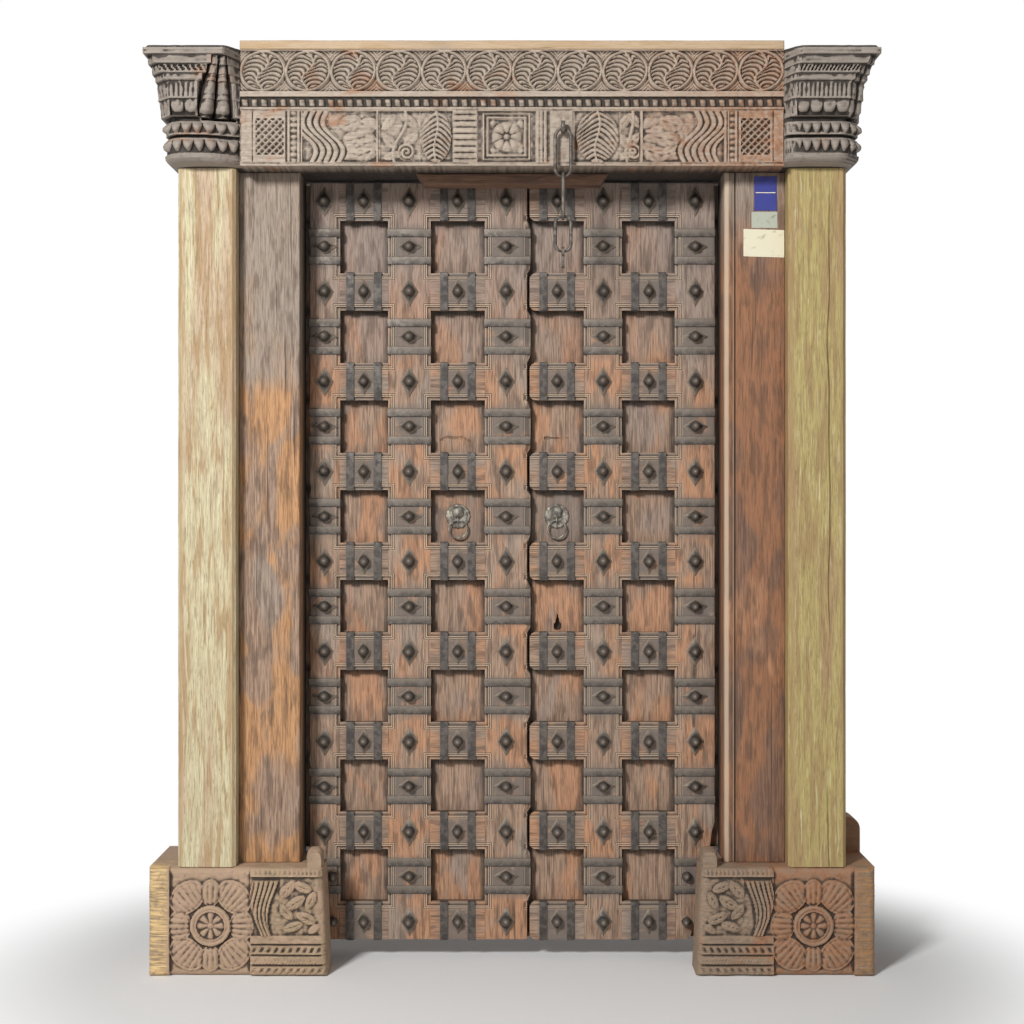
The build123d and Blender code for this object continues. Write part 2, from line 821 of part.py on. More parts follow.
def ledges(low, high):
    """Three battens across the back of a leaf."""
    height = leaf_top - leaf_bottom
    battens = []
    for share in ledge_level_shares:
        middle = leaf_bottom + share * height
        battens.append(block(
            (low, high), (plank_back, plank_back + ledge_thickness),
            (middle - ledge_height / 2, middle + ledge_height / 2),
        ))
    return battens


def standing_span(span, level):
    """What is left of a stile's width at a level, once the lower outer corner is cut away."""
    if level > heel_bottom:
        return span
    return (max(span[0], -notch_x), min(span[1], notch_x))


def straps(stiles, recesses):
    """Pairs of iron bands across the stiles beside each recess, and across the rails between stiles."""
    bands = []
    offsets = (-strap_spacing / 2, strap_spacing / 2)
    depth = (lattice_front - strap_thickness, lattice_front)
    for span in stiles:
        for level in recess_levels:
            for offset in offsets:
                middle = level + offset
                edges = standing_span(span, middle - strap_width)
                edges = (edges[0] + strap_end_margin, edges[1] - strap_end_margin)
                bands.append(block(edges, depth, (middle - strap_width / 2, middle + strap_width / 2)))
    for low, high in recesses:
        for level in rail_levels:
            for offset in offsets:
                x = (low + high) / 2 + offset
                bands.append(block(
                    (x - strap_width / 2, x + strap_width / 2), depth,
                    (level - rail_height / 2 + strap_end_margin, level + rail_height / 2 - strap_end_margin),
                ))
    return bands


def spike_places(stiles, recesses):
    """(x, z, kind) of each spike: on crossings, midway along the stiles and rails, and on cut strips."""
    places = []
    for span in stiles:
        rows = [(level, plate_length, "crossing") for level in rail_levels]
        rows = rows + [(level, strap_spacing, "stile") for level in recess_levels]
        for level, height, kind in rows:
            standing = standing_span(span, level - height / 2)
            places.append((sum(standing) / 2, level, kind if standing == span else "strip"))
    for span in recesses:
        places = places + [(sum(span) / 2, level, "rail") for level in rail_levels]
    return places


def spike():
    """A forged point with a faceted shoulder, standing forward of the origin."""
    base = turned_ring(spike_radius, 0, spike_sides)
    shoulder = turned_ring(spike_radius * spike_shoulder_share, spike_shoulder_height, spike_sides)
    return faceted([base, shoulder], tip=(0, -spike_height, 0))


def spike_plate(length, breadth):
    """A raised lozenge plate with its long axis along X, standing forward of the origin."""
    base = lozenge_ring(length / 2, breadth / 2, 0)
    top = lozenge_ring(length / 2 * plate_top_share, breadth / 2 * plate_top_share, plate_height)
    return faceted([base, top])


def studs(stiles, recesses):
    """All the spikes of a leaf, and the plates that they stand on."""
    point = spike()
    plates = {
        "crossing": Rot(0, 90, 0) * spike_plate(plate_length, plate_breadth),
        "stile": spike_plate(mid_plate_length, mid_plate_breadth),
        "rail": Rot(0, 90, 0) * spike_plate(mid_plate_length, mid_plate_breadth),
    }
    spikes = []
    lozenge_plates = []
    for x, z, kind in spike_places(stiles, recesses):
        foot = lattice_front
        if kind in plates:
            lozenge_plates.append(Pos(x, lattice_front, z) * plates[kind])
            foot = lattice_front - plate_height
        spikes.append(Pos(x, foot, z) * point)
    return spikes, lozenge_plates


# Ring pulls and chain


def pull_rosette(x):
    """A round plate with a dome and the lug that holds the ring."""
    z = pull_level
    plate = forward_rod(pull_plate_radius, x, z, plank_front, pull_plate_thickness, pull_sides)
    face = plank_front - pull_plate_thickness
    courses = [
        turned_ring(pull_dome_radius * wide, pull_dome_height * high, pull_sides)
        for wide, high in dome_profile_shares
    ]
    dome = Pos(x, face, z + pull_dome_rise) * faceted(courses, tip=(0, -pull_dome_height, 0))
    lug_z = z - pull_lug_drop
    lug_half = ring_bar / 2 + ring_clearance + pull_lug_wall
    lug = block(
        (x - pull_lug_width / 2, x + pull_lug_width / 2), (face - pull_lug_reach - lug_half, face),
        (lug_z - lug_half, lug_z + lug_half),
    )
    hole = Pos(x, face - pull_lug_reach, lug_z) * Rot(0, 90, 0) * Cylinder(
        ring_bar / 2 + ring_clearance, pull_lug_width + overrun
    )
    return plate + dome + lug - hole


def pull_ring(x):
    """A forged ring that hangs from the lug."""
    y = plank_front - pull_plate_thickness - pull_lug_reach
    z = pull_level - pull_lug_drop - ring_radius
    return Pos(x, y, z) * round_loop(ring_radius, ring_bar)


def round_loop(radius, bar):
    """A ring of bar in the plane of the gate, centred on the origin, with a station at its top."""
    count = 3 * bend_steps
    angles = [2 * math.pi * n / count + math.pi / 2 for n in range(count)]
    return bar_loop([(radius * math.cos(a), radius * math.sin(a), a) for a in angles], bar)


def link(length):
    """An upright chain link in the plane of the gate, centred on the origin."""
    bend = (chain_width - chain_bar) / 2
    rise = (length - chain_width) / 2
    stations = []
    for start, level in ((0, rise), (math.pi, -rise)):
        angles = [start + math.pi * n / bend_steps for n in range(bend_steps + 1)]
        stations = stations + [(bend * math.cos(a), level + bend * math.sin(a), a) for a in angles]
    return bar_loop(stations, chain_bar)


chain_y = beam_front - staple_eye_radius - chain_bar / 2 - chain_play
staple_z = jamb_top + staple_height
first_top = staple_z - staple_eye_radius + chain_bar * 3 / 2 + chain_play
second_top = first_top - first_link_length + 2 * chain_bar + chain_play
third_top = second_top - second_link_length + 2 * chain_bar + chain_play
hasp_top = third_top - third_link_length + 2 * chain_bar + chain_play


def chain_staple():
    """An eye across the gate, on a shank driven into the head beam."""
    eye = Pos(chain_offset, chain_y, staple_z) * Rot(0, 0, 90) * round_loop(staple_eye_radius, chain_bar)
    shank = forward_rod(
        staple_shank_radius, chain_offset, staple_z, beam_front + staple_shank_length,
        staple_shank_length + chain_play + chain_bar / 2,
    )
    return eye + shank


def chain_link(top, length, turn):
    return Pos(chain_offset, chain_y, top - length / 2) * Rot(0, 0, turn) * link(length)


def chain_hasp():
    """A flat hook plate with an eye, hung from the last link."""
    eye = hasp_width / 2
    hole = eye - chain_bar
    tail = hasp_length - hasp_width
    outline = RegularPolygon(eye, disc_sides) + Pos(0, -tail / 2) * Rectangle(eye, tail)
    outline = outline + Pos(0, -tail) * RegularPolygon(eye * hasp_tail_share, disc_sides)
    plate = extrude(Plane.YZ * (outline - RegularPolygon(hole, disc_sides)), chain_bar / 2, both=True)
    return Pos(chain_offset, chain_y, hasp_top - eye) * plate


def build_frame():
    right_plinth = plinth()
    save("plinth_left", mirrored(right_plinth))
    save("plinth_right", right_plinth + rear_stub())
    save("jamb_left", mirrored(jamb()))
    save("jamb_right", jamb())
    save("pilaster_left", mirrored(pilaster()))
    save("pilaster_right", pilaster())
    save("capital_left", capital(-capital_inner - capital_width))
    save("capital_right", capital(capital_inner))
    save("head_beam", head_beam())
    save("cornice_beam", cornice_beam())
    save("cap_board", cap_board())
    save("door_stop_block", door_stop_block())
    save("pivot_rail", pivot_rail())
    save("pivot_cups", pivot_cup(-pivot_x), pivot_cup(pivot_x))
    save("chain_staple", chain_staple())


def build_left_leaf():
    hinge, middle, meeting = left_stiles
    joint_x = (middle[0] + middle[1]) / 2
    save("left_hinge_plank", hinge_plank(-1, joint_x))
    save("left_meeting_plank", plank((joint_x, left_meeting_edge)))
    save("left_hinge_stile", stile(hinge) - corner_cut(-1))
    save("left_middle_stile", stile(middle))
    save("left_meeting_stile", stile(meeting) + meeting_waves())
    for number, level in enumerate(rail_levels, start=1):
        bar = rail((-leaf_edge, left_meeting_edge), level, left_stiles)
        save(f"left_rail_{number}", bar - corner_cut(-1))
    save("left_ledges", *ledges(-notch_x, left_meeting_edge - ledge_end_margin))
    build_ironwork("left", left_stiles, left_recesses, left_recesses[-1])


def build_right_leaf():
    middle, hinge = right_stiles
    joint_x = (middle[0] + middle[1]) / 2
    save("right_hinge_plank", hinge_plank(1, joint_x))
    save("right_meeting_plank", plank((right_meeting_edge + meeting_wave, joint_x)))
    save("right_middle_stile", stile(middle))
    save("right_hinge_stile", stile(hinge) - corner_cut(1) - broken_edge())
    for number, level in enumerate(rail_levels, start=1):
        bar = rail((right_meeting_edge, leaf_edge), level, right_stiles)
        save(f"right_rail_{number}", bar - corner_cut(1) - broken_edge())
    save("right_ledges", *ledges(right_meeting_edge + meeting_wave + ledge_end_margin, notch_x))
    build_ironwork("right", right_stiles, right_recesses, right_recesses[0])


def build_ironwork(side, stiles, recesses, pull_recess):
    spikes, plates = studs(stiles, recesses)
    pull_x = (pull_recess[0] + pull_recess[1]) / 2
    save(f"{side}_straps", *straps(stiles, recesses))
    save(f"{side}_spikes", *spikes)
    save(f"{side}_spike_plates", *plates)
    save(f"{side}_pull_rosette", pull_rosette(pull_x))
    save(f"{side}_pull_ring", pull_ring(pull_x))


def build_chain():
    save("chain_link_1", chain_link(first_top, first_link_length, 0))
    save("chain_link_2", chain_link(second_top, second_link_length, 90))
    save("chain_link_3", chain_link(third_top, third_link_length, 0))
    save("chain_hasp", chain_hasp())


os.makedirs("parts", exist_ok=True)
build_frame()
build_left_leaf()
build_right_leaf()
build_chain()
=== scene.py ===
import math

import bpy
import numpy as np
from bpy.props import FloatProperty, FloatVectorProperty, IntProperty, PointerProperty
from bpy.types import Operator, Panel, PropertyGroup
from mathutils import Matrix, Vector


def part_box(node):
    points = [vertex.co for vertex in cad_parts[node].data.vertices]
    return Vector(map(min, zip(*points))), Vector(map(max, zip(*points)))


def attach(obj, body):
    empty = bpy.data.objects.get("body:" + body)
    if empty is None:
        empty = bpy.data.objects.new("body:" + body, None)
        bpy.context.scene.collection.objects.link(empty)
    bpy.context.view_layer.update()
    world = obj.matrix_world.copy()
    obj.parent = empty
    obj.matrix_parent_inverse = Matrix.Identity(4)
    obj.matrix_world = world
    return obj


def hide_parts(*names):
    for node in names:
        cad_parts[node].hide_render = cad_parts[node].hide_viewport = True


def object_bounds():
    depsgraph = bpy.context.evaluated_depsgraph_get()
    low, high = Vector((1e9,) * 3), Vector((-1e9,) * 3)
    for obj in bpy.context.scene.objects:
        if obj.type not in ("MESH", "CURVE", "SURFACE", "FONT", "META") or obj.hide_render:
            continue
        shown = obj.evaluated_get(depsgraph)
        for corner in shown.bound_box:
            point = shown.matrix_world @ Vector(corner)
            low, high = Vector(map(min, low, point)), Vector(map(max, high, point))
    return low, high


bl_info = {
    "name": "Spiked Gate",
    "version": (1, 0, 0),
    "blender": (4, 5, 0),
    "location": "3D View > Sidebar > Gate",
    "description": "Dresses a spiked timber gate: carved frame, lattice leaves, forged iron and a chain",
    "category": "Object",
}

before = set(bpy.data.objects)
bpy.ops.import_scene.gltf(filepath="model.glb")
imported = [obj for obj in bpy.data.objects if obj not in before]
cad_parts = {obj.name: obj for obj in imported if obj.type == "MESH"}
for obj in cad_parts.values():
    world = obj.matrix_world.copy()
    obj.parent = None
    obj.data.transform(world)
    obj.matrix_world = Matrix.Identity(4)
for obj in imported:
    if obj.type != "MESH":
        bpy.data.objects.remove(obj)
cad_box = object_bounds()

X, Y, Z = 0, 1, 2
MM = 0.001
HAIR = 0.00005
LEAVES = {
    "left": ("left_hinge_stile", "left_middle_stile", "left_meeting_stile"),
    "right": ("right_middle_stile", "right_hinge_stile"),
}
SIDES = ((-1, "left"), (1, "right"))
AXES = np.eye(3)
# Tone at the back of a block's sides: painted shade that darkens the reveals.
SIDE_SHADE = -1.3
RAIL_COUNT = 9
PULL_ROW = RAIL_COUNT // 2 - 1


def low(node, axis):
    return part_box(node)[0][axis]


def high(node, axis):
    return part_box(node)[1][axis]


def span(node, axis):
    return low(node, axis), high(node, axis)


def middle_of(node, axis):
    return sum(span(node, axis)) / 2


LATTICE_FRONT, LATTICE_BACK = span("left_rail_1", Y)
LEFT_EDGE = high("left_rail_1", X)
RIGHT_EDGE = low("right_rail_1", X)
RAIL_LEVELS = [middle_of(f"left_rail_{n + 1}", Z) for n in range(RAIL_COUNT)]
RAIL_HALF = (high("left_rail_1", Z) - low("left_rail_1", Z)) / 2
RECESS_LEVELS = [(a + b) / 2 for a, b in zip(RAIL_LEVELS, RAIL_LEVELS[1:])]
RECESS_HALF = RECESS_LEVELS[0] - RAIL_LEVELS[1] - RAIL_HALF
LEAF_BOTTOM, LEAF_TOP = span("left_middle_stile", Z)


def colour(name, description, default):
    return FloatVectorProperty(
        name=name, description=description, default=default, size=3, subtype="COLOR", min=0, max=1
    )


def length(name, description, default):
    return FloatProperty(name=name, description=description, default=default, min=0, unit="LENGTH", precision=4)


class GateSizes(PropertyGroup):
    """Sizes of the dressed gate that the solids leave open."""

    carving_grid: length("Carving grid", "Spacing of the grid that carries the carving", 2.2 * MM)
    arris: length("Arris", "Rounding of worn timber edges", 3.5 * MM)
    step_width: length("Step width", "Low border round each recess of the leaves", 8 * MM)
    step_depth: length("Step depth", "Drop of that border below the face", 5.5 * MM)
    line_width: length("Line width", "Width of an incised line", 2.6 * MM)
    line_depth: length("Line depth", "Depth of an incised line", 2.0 * MM)
    strap_width: length("Strap width", "Width of an iron strap", 20 * MM)
    strap_spacing: length("Strap spacing", "Distance between the middles of a pair of straps", 70 * MM)
    strap_turn: length("Strap turn", "Length of strap that turns down into a recess", 14 * MM)
    plate_length: length("Plate length", "Long axis of a crossing's lozenge plate", 76 * MM)
    plate_breadth: length("Plate breadth", "Short axis of a crossing's lozenge plate", 46 * MM)
    mid_plate_length: length("Middle plate length", "Long axis of a plate between straps", 66 * MM)
    mid_plate_breadth: length("Middle plate breadth", "Short axis of a plate between straps", 38 * MM)
    spike_radius: length("Spike radius", "Radius of a spike at its shoulder", 12 * MM)
    heel_clearance: length("Heel clearance", "Gap between a leaf's cut corner and its plinth", 5 * MM)
    corner_notch: length("Corner notch", "Width cut from a leaf's lower corner, from the opening's side", 56 * MM)
    corner_cover: length("Corner cover", "How far a stile's foot stands into the cut corner", 15 * MM)
    broken_rise: length("Broken rise", "Height of the broken edge of the right leaf", 285 * MM)
    broken_width: length("Broken width", "Width of the broken edge at its foot", 60 * MM)
    ring_sides: IntProperty(name="Ring sides", description="Facets round an iron ring", default=40, min=8)


class GateColours(PropertyGroup):
    """Colours of the gate's finishes."""

    teak_dark: colour("Dark teak", "Dark grain of weathered teak", (0.070, 0.040, 0.026))
    teak_light: colour("Light teak", "Light grain of weathered teak", (0.43, 0.285, 0.195))
    teak_red: colour("Red teak", "Red-brown patches of the leaves", (0.50, 0.25, 0.13))
    teak_orange: colour("Orange teak", "Fresh orange-brown patches of the jambs", (0.56, 0.285, 0.115))
    jamb_brown: colour("Jamb brown", "Dark brown of the right jamb", (0.24, 0.125, 0.075))
    jamb_red: colour("Jamb red", "Red patches of the right jamb", (0.33, 0.145, 0.065))
    weather_grey: colour("Weather grey", "Silvered old surface", (0.335, 0.275, 0.220))
    carving_light: colour("Carving light", "High parts of the carving", (0.47, 0.385, 0.305))
    capital_light: colour("Capital light", "High parts of the capitals", (0.327, 0.280, 0.237))
    carving_dark: colour("Carving dark", "Grounds of the carving", (0.070, 0.046, 0.032))
    paint_pale: colour("Pale paint", "Pale yellow paint of the left pilaster", (0.60, 0.545, 0.345))
    paint_olive: colour("Olive paint", "Dull olive paint of the right pilaster", (0.440, 0.358, 0.132))
    olive_ground: colour("Wood under olive", "Brown wood under the olive paint", (0.34, 0.225, 0.10))
    raw_wood: colour("Raw wood", "Freshly cut board and end grain", (0.50, 0.37, 0.245))
    worn_wood: colour("Worn wood", "Tan wood where the paint is rubbed", (0.40, 0.26, 0.13))
    end_grain: colour("End grain", "Pale end grain of the left plinth", (0.739, 0.515, 0.241))
    plinth_light: colour("Plinth light", "High parts of the left plinth's carving", (0.44, 0.315, 0.20))
    plinth_dull: colour("Plinth dull", "High parts of the right plinth's carving", (0.31, 0.22, 0.15))
    plinth_orange: colour("Plinth orange", "End grain of the right plinth", (0.36, 0.19, 0.08))
    # Greyer teak: weathered patches on the planks, and on the leaves' upper part weathering with painted shade under
    # the head beam.
    teak_weathered_shade: colour("Dusky teak", "Dull upper part of the leaves", (0.31, 0.24, 0.20))
    bronze: colour("Bronze", "Rubbed bronze of the ring pulls", (0.36, 0.34, 0.275))
    chain_worn: colour("Worn chain", "Rubbed iron of the chain", (0.15, 0.128, 0.106))
    iron_black: colour("Black iron", "Iron of the chain", (0.050, 0.042, 0.036))
    iron: colour("Iron", "Dark forged iron", (0.040, 0.034, 0.030))
    iron_worn: colour("Worn iron", "Rubbed and rusted iron", (0.110, 0.092, 0.078))
    plate_blue: colour("Plate blue", "Enamelled plate", (0.022, 0.030, 0.22))
    paper: colour("Paper", "Old paper label", (0.72, 0.67, 0.50))


class GateStage(PropertyGroup):
    """The floor, the light and the camera."""

    camera_distance: length("Camera distance", "From the camera to the faces of the plinths", 4.50)
    camera_height: length("Camera height", "Height of the camera above the floor", 1.173)
    lens: FloatProperty(name="Lens", description="Focal length", default=64.58, unit="CAMERA")
    horizon_shift: FloatProperty(name="Horizon shift", description="Share of the frame", default=-0.0132)
    floor_colour: colour("Floor", "Pale floor", (0.90, 0.90, 0.90))
    key_power: FloatProperty(name="Key power", description="Power of the key light", default=360, unit="POWER")
    fill_power: FloatProperty(name="Fill power", description="Power of the fill light", default=16, unit="POWER")
    sky_strength: FloatProperty(name="Sky", description="Strength of the even light", default=0.15, min=0)


# Shapes


def smooth(t):
    """Smooth step from 0 to 1: three t squared less two t cubed."""
    t = np.clip(t, 0, 1)
    return t * t * (3 - 2 * t)


def lies_in(value, ends):
    """Whether a value lies between two ends."""
    return (value > ends[0]) & (value < ends[1])


def ridge(distance, half):
    """A rounded ridge: one on its line, falling as a parabola to nought at half its width."""
    return np.clip(1 - (distance / half) ** 2, 0, 1)


def spread(start, stop, step):
    """Even lines from start to stop, no further apart than step."""
    return np.linspace(start, stop, max(1, math.ceil((stop - start) / step - HAIR)) + 1)


def lines(*groups):
    """All the lines of several groups in order, with those that coincide merged."""
    ordered = np.sort(np.concatenate([np.atleast_1d(group) for group in groups]))
    return ordered[np.concatenate(([True], np.diff(ordered) > HAIR))]


def noise(u, v, cell, seed):
    """Smooth noise from -1 to 1: random values on a lattice, blended by a smooth step between its corners."""
    table = np.random.default_rng(seed).uniform(-1, 1, (64, 64))
    p, q = u / cell, v / cell
    i, j = np.floor(p).astype(int), np.floor(q).astype(int)
    s, t = smooth(p - i), smooth(q - j)
    below = table[i % 64, j % 64] * (1 - s) + table[(i + 1) % 64, j % 64] * s
    above = table[i % 64, (j + 1) % 64] * (1 - s) + table[(i + 1) % 64, (j + 1) % 64] * s
    return below * (1 - t) + above * t


def quads_of(index):
    """Quads between neighbours of a grid of point numbers, facing along row cross column."""
    return np.stack([index[:-1, :-1], index[:-1, 1:], index[1:, 1:], index[1:, :-1]], axis=-1).reshape(-1, 4).tolist()


def border_of(index):
    """Point numbers round a grid's edge: along the first row, up, back along the last row and down."""
    return np.concatenate([index[0, :-1], index[:-1, -1], index[-1, :0:-1], index[:0:-1, 0]])


def relief_block(x, face, z, back, tone=0.0, stain=0.0, side_shade=0.0):
    """A closed block: front points (x, face, z) on a grid, straight sides to a flat back.
    The sides run to a tone of their own just before the back: painted shade that darkens them."""
    index = np.arange(face.size).reshape(face.shape)
    points = np.stack([x, face, z], axis=-1).reshape(-1, 3)
    border = border_of(index)
    count = len(border)
    near, behind = points[border].copy(), points[border].copy()
    near[:, Y] = back - MM
    behind[:, Y] = back
    rings = [border, np.arange(count) + len(points), np.arange(count) + len(points) + count]
    sides = [np.stack([np.roll(a, -1), a, b, np.roll(b, -1)], axis=-1) for a, b in zip(rings, rings[1:])]
    marks = np.stack([np.broadcast_to(tone, face.shape), np.broadcast_to(stain, face.shape)], axis=-1).reshape(-1, 2)
    return (
        np.concatenate([points, near, behind]),
        quads_of(index) + np.concatenate(sides).tolist() + [rings[-1][::-1].tolist()],
        np.concatenate([marks, np.tile([side_shade, 0.0], (count, 1)), np.zeros((count, 2))]),
    )


def box_block(x_span, y_span, z_span, arris):
    """A squared block whose front arrises are rounded: the face falls back as a quarter circle at its border."""
    x, z = np.meshgrid(edge_lines(*x_span, arris, 0.08), edge_lines(*z_span, arris, 0.08))
    return relief_block(x, y_span[0] + rounding(x, z, x_span, z_span, arris), z, y_span[1])


def edge_lines(start, stop, arris, step):
    """Even lines with a few more across each rounded edge."""
    curve = arris * (1 - np.cos(np.linspace(0, math.pi / 2, 4)))
    return lines(start + curve, stop - curve, spread(start + arris, stop - arris, step))


def rounding(x, z, x_span, z_span, arris):
    """How far the face falls back near its border: a quarter circle of the arris radius."""
    inside = np.minimum.reduce([x - x_span[0], x_span[1] - x, z - z_span[0], z_span[1] - z])
    missing = np.clip(arris - inside, 0, arris)
    return arris - np.sqrt(np.maximum(arris * arris - missing * missing, 0))


def lofted(rings):
    """A skin through rings of points [ring, point, axis], each ring closed on itself, with flat ends."""
    count = rings.shape[1]
    index = np.arange(rings.shape[0] * count).reshape(rings.shape[0], count)
    wrapped = np.concatenate([index, index[:, :1]], axis=1)
    faces = quads_of(wrapped) + [index[0, ::-1].tolist(), index[-1].tolist()]
    return rings.reshape(-1, 3), faces, np.zeros((rings.shape[0] * count, 2))


def tube(path, outward, side, radius, sides):
    """A round bar along a closed path: at each point a circle in the plane of its outward and side directions."""
    turn = turns(sides)[None, :, None]
    thick = np.broadcast_to(radius, len(path))[:, None, None]
    rings = path[:, None, :] + thick * (np.cos(turn) * outward[:, None, :] + np.sin(turn) * side)
    index = np.arange(len(path) * sides).reshape(len(path), sides)
    return rings.reshape(-1, 3), quads_of(np.pad(index, ((0, 1), (0, 1)), mode="wrap")), np.zeros((index.size, 2))


def turns(count):
    """Even angles round a circle."""
    return np.linspace(0, 2 * math.pi, count, endpoint=False)


def ring_at(x, y, z, radius, turn):
    """Points round a circle that faces the front, or round an outline given as a radius for each angle."""
    return np.stack([x + radius * np.cos(turn), np.full(len(turn), y), z + radius * np.sin(turn)], axis=-1)


def hoop(middle, radius, across, side, bar, steps, sides):
    """A round bar carried round an upright circle in the plane of the across direction and Z."""
    turn = turns(steps)[:, None]
    out = np.cos(turn) * across + np.sin(turn) * AXES[Z]
    return tube(np.array(middle) + radius * out, out, side, bar, sides)


def loop_path(width, height, centre, across, steps):
    """An upright oval loop: half circles of half the width joined by straight sides; points and outward directions."""
    half = np.linspace(0, math.pi, steps)
    angles = np.concatenate([half, half + math.pi])
    rise = (height - width) / 2 * np.repeat([1, -1], steps)
    out = np.cos(angles)[:, None] * across + np.sin(angles)[:, None] * AXES[Z]
    path = np.array(centre) + width / 2 * out
    path[:, Z] += rise
    return path, out


def fern(p, q, half, tall, bend, pitch):
    """A leaf on a bent midrib, from 0 to 1: ribs leave it on both sides and arch down, inside an ellipse."""
    away = p - bend * np.sin(math.pi * q / tall)
    ribs = ridge((q + 0.75 * np.abs(away) ** 1.5 / half ** 0.5) / pitch % 1 - 0.5, 0.40)
    blade = (p / half) ** 2 + (q / tall) ** 2 < 1
    return np.maximum(np.where(blade, 0.12 + 0.66 * ribs, 0.0), ridge(away, 0.0036) * blade)


def leaves(p, q, rows):
    """A spray of leaves, from 0 to 1: half ellipsoids, each turned by its lean, with slanting veins and a midrib.
    A row gives a leaf's place, level, half length, half width and lean."""
    raised = np.zeros_like(p)
    for place, level, wide, tall, lean in rows:
        a = (p - place) * math.cos(lean) + (q - level) * math.sin(lean)
        b = (q - level) * math.cos(lean) - (p - place) * math.sin(lean)
        inside = 1 - (a / wide) ** 2 - (b / tall) ** 2
        vein = 0.84 + 0.16 * np.cos(2 * math.pi * (0.7 * a + np.abs(b)) / (0.7 * tall))
        raised = np.maximum(raised, np.clip(inside, 0, 1) ** 0.4 * vein * (1 - 0.4 * ridge(b, 0.14 * tall)))
    return raised


def streams(p, q, pitch, length, swing):
    """Bands that stream down in bends, from 0 to 1: narrow grooves across a coordinate that a sine swings about."""
    return 1 - ridge((p + swing * np.sin(2 * math.pi * q / length)) / pitch % 1 - 0.5, 0.2)


def cavity(face, reach):
    """How far each point stands above the mean of its neighbours within a few grid cells, from -1 to 1."""
    padded = np.pad(face, reach, mode="edge")
    total = np.cumsum(np.cumsum(np.pad(padded, ((1, 0), (1, 0))), axis=0), axis=1)
    size = 2 * reach + 1
    mean = (total[size:, size:] - total[:-size, size:] - total[size:, :-size] + total[:-size, :-size]) / size**2
    return np.clip((mean - face) / (3.5 * MM), -1, 1)


def joined(parts):
    """Several parts as one set of points, faces and tones."""
    points, faces, marks, count = [], [], [], 0
    for part_points, part_faces, part_marks in parts:
        points.append(part_points)
        marks.append(part_marks)
        faces += [[number + count for number in face] for face in part_faces]
        count += len(part_points)
    return np.concatenate(points), faces, np.concatenate(marks)


def add_piece(name, parts, finish, body, nodes, smooth_angle=40):
    """Puts parts into one mesh object that rides on a body and stands for the nodes it replaces."""
    points, faces, marks = joined(parts)
    mesh = bpy.data.meshes.new(name)
    mesh.from_pydata(points.tolist(), [], faces)
    for number, mark in enumerate(("tone", "stain")):
        values = marks[:, number].astype(np.float32)
        mesh.attributes.new(mark, "FLOAT", "POINT").data.foreach_set("value", values)
    mesh.shade_smooth()
    mesh.set_sharp_from_angle(angle=math.radians(smooth_angle))
    mesh.materials.append(bpy.data.materials[finish])
    piece = bpy.data.objects.new(name, mesh)
    bpy.context.scene.collection.objects.link(piece)
    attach(piece, body)
    if nodes:
        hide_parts(*nodes)


# Finishes


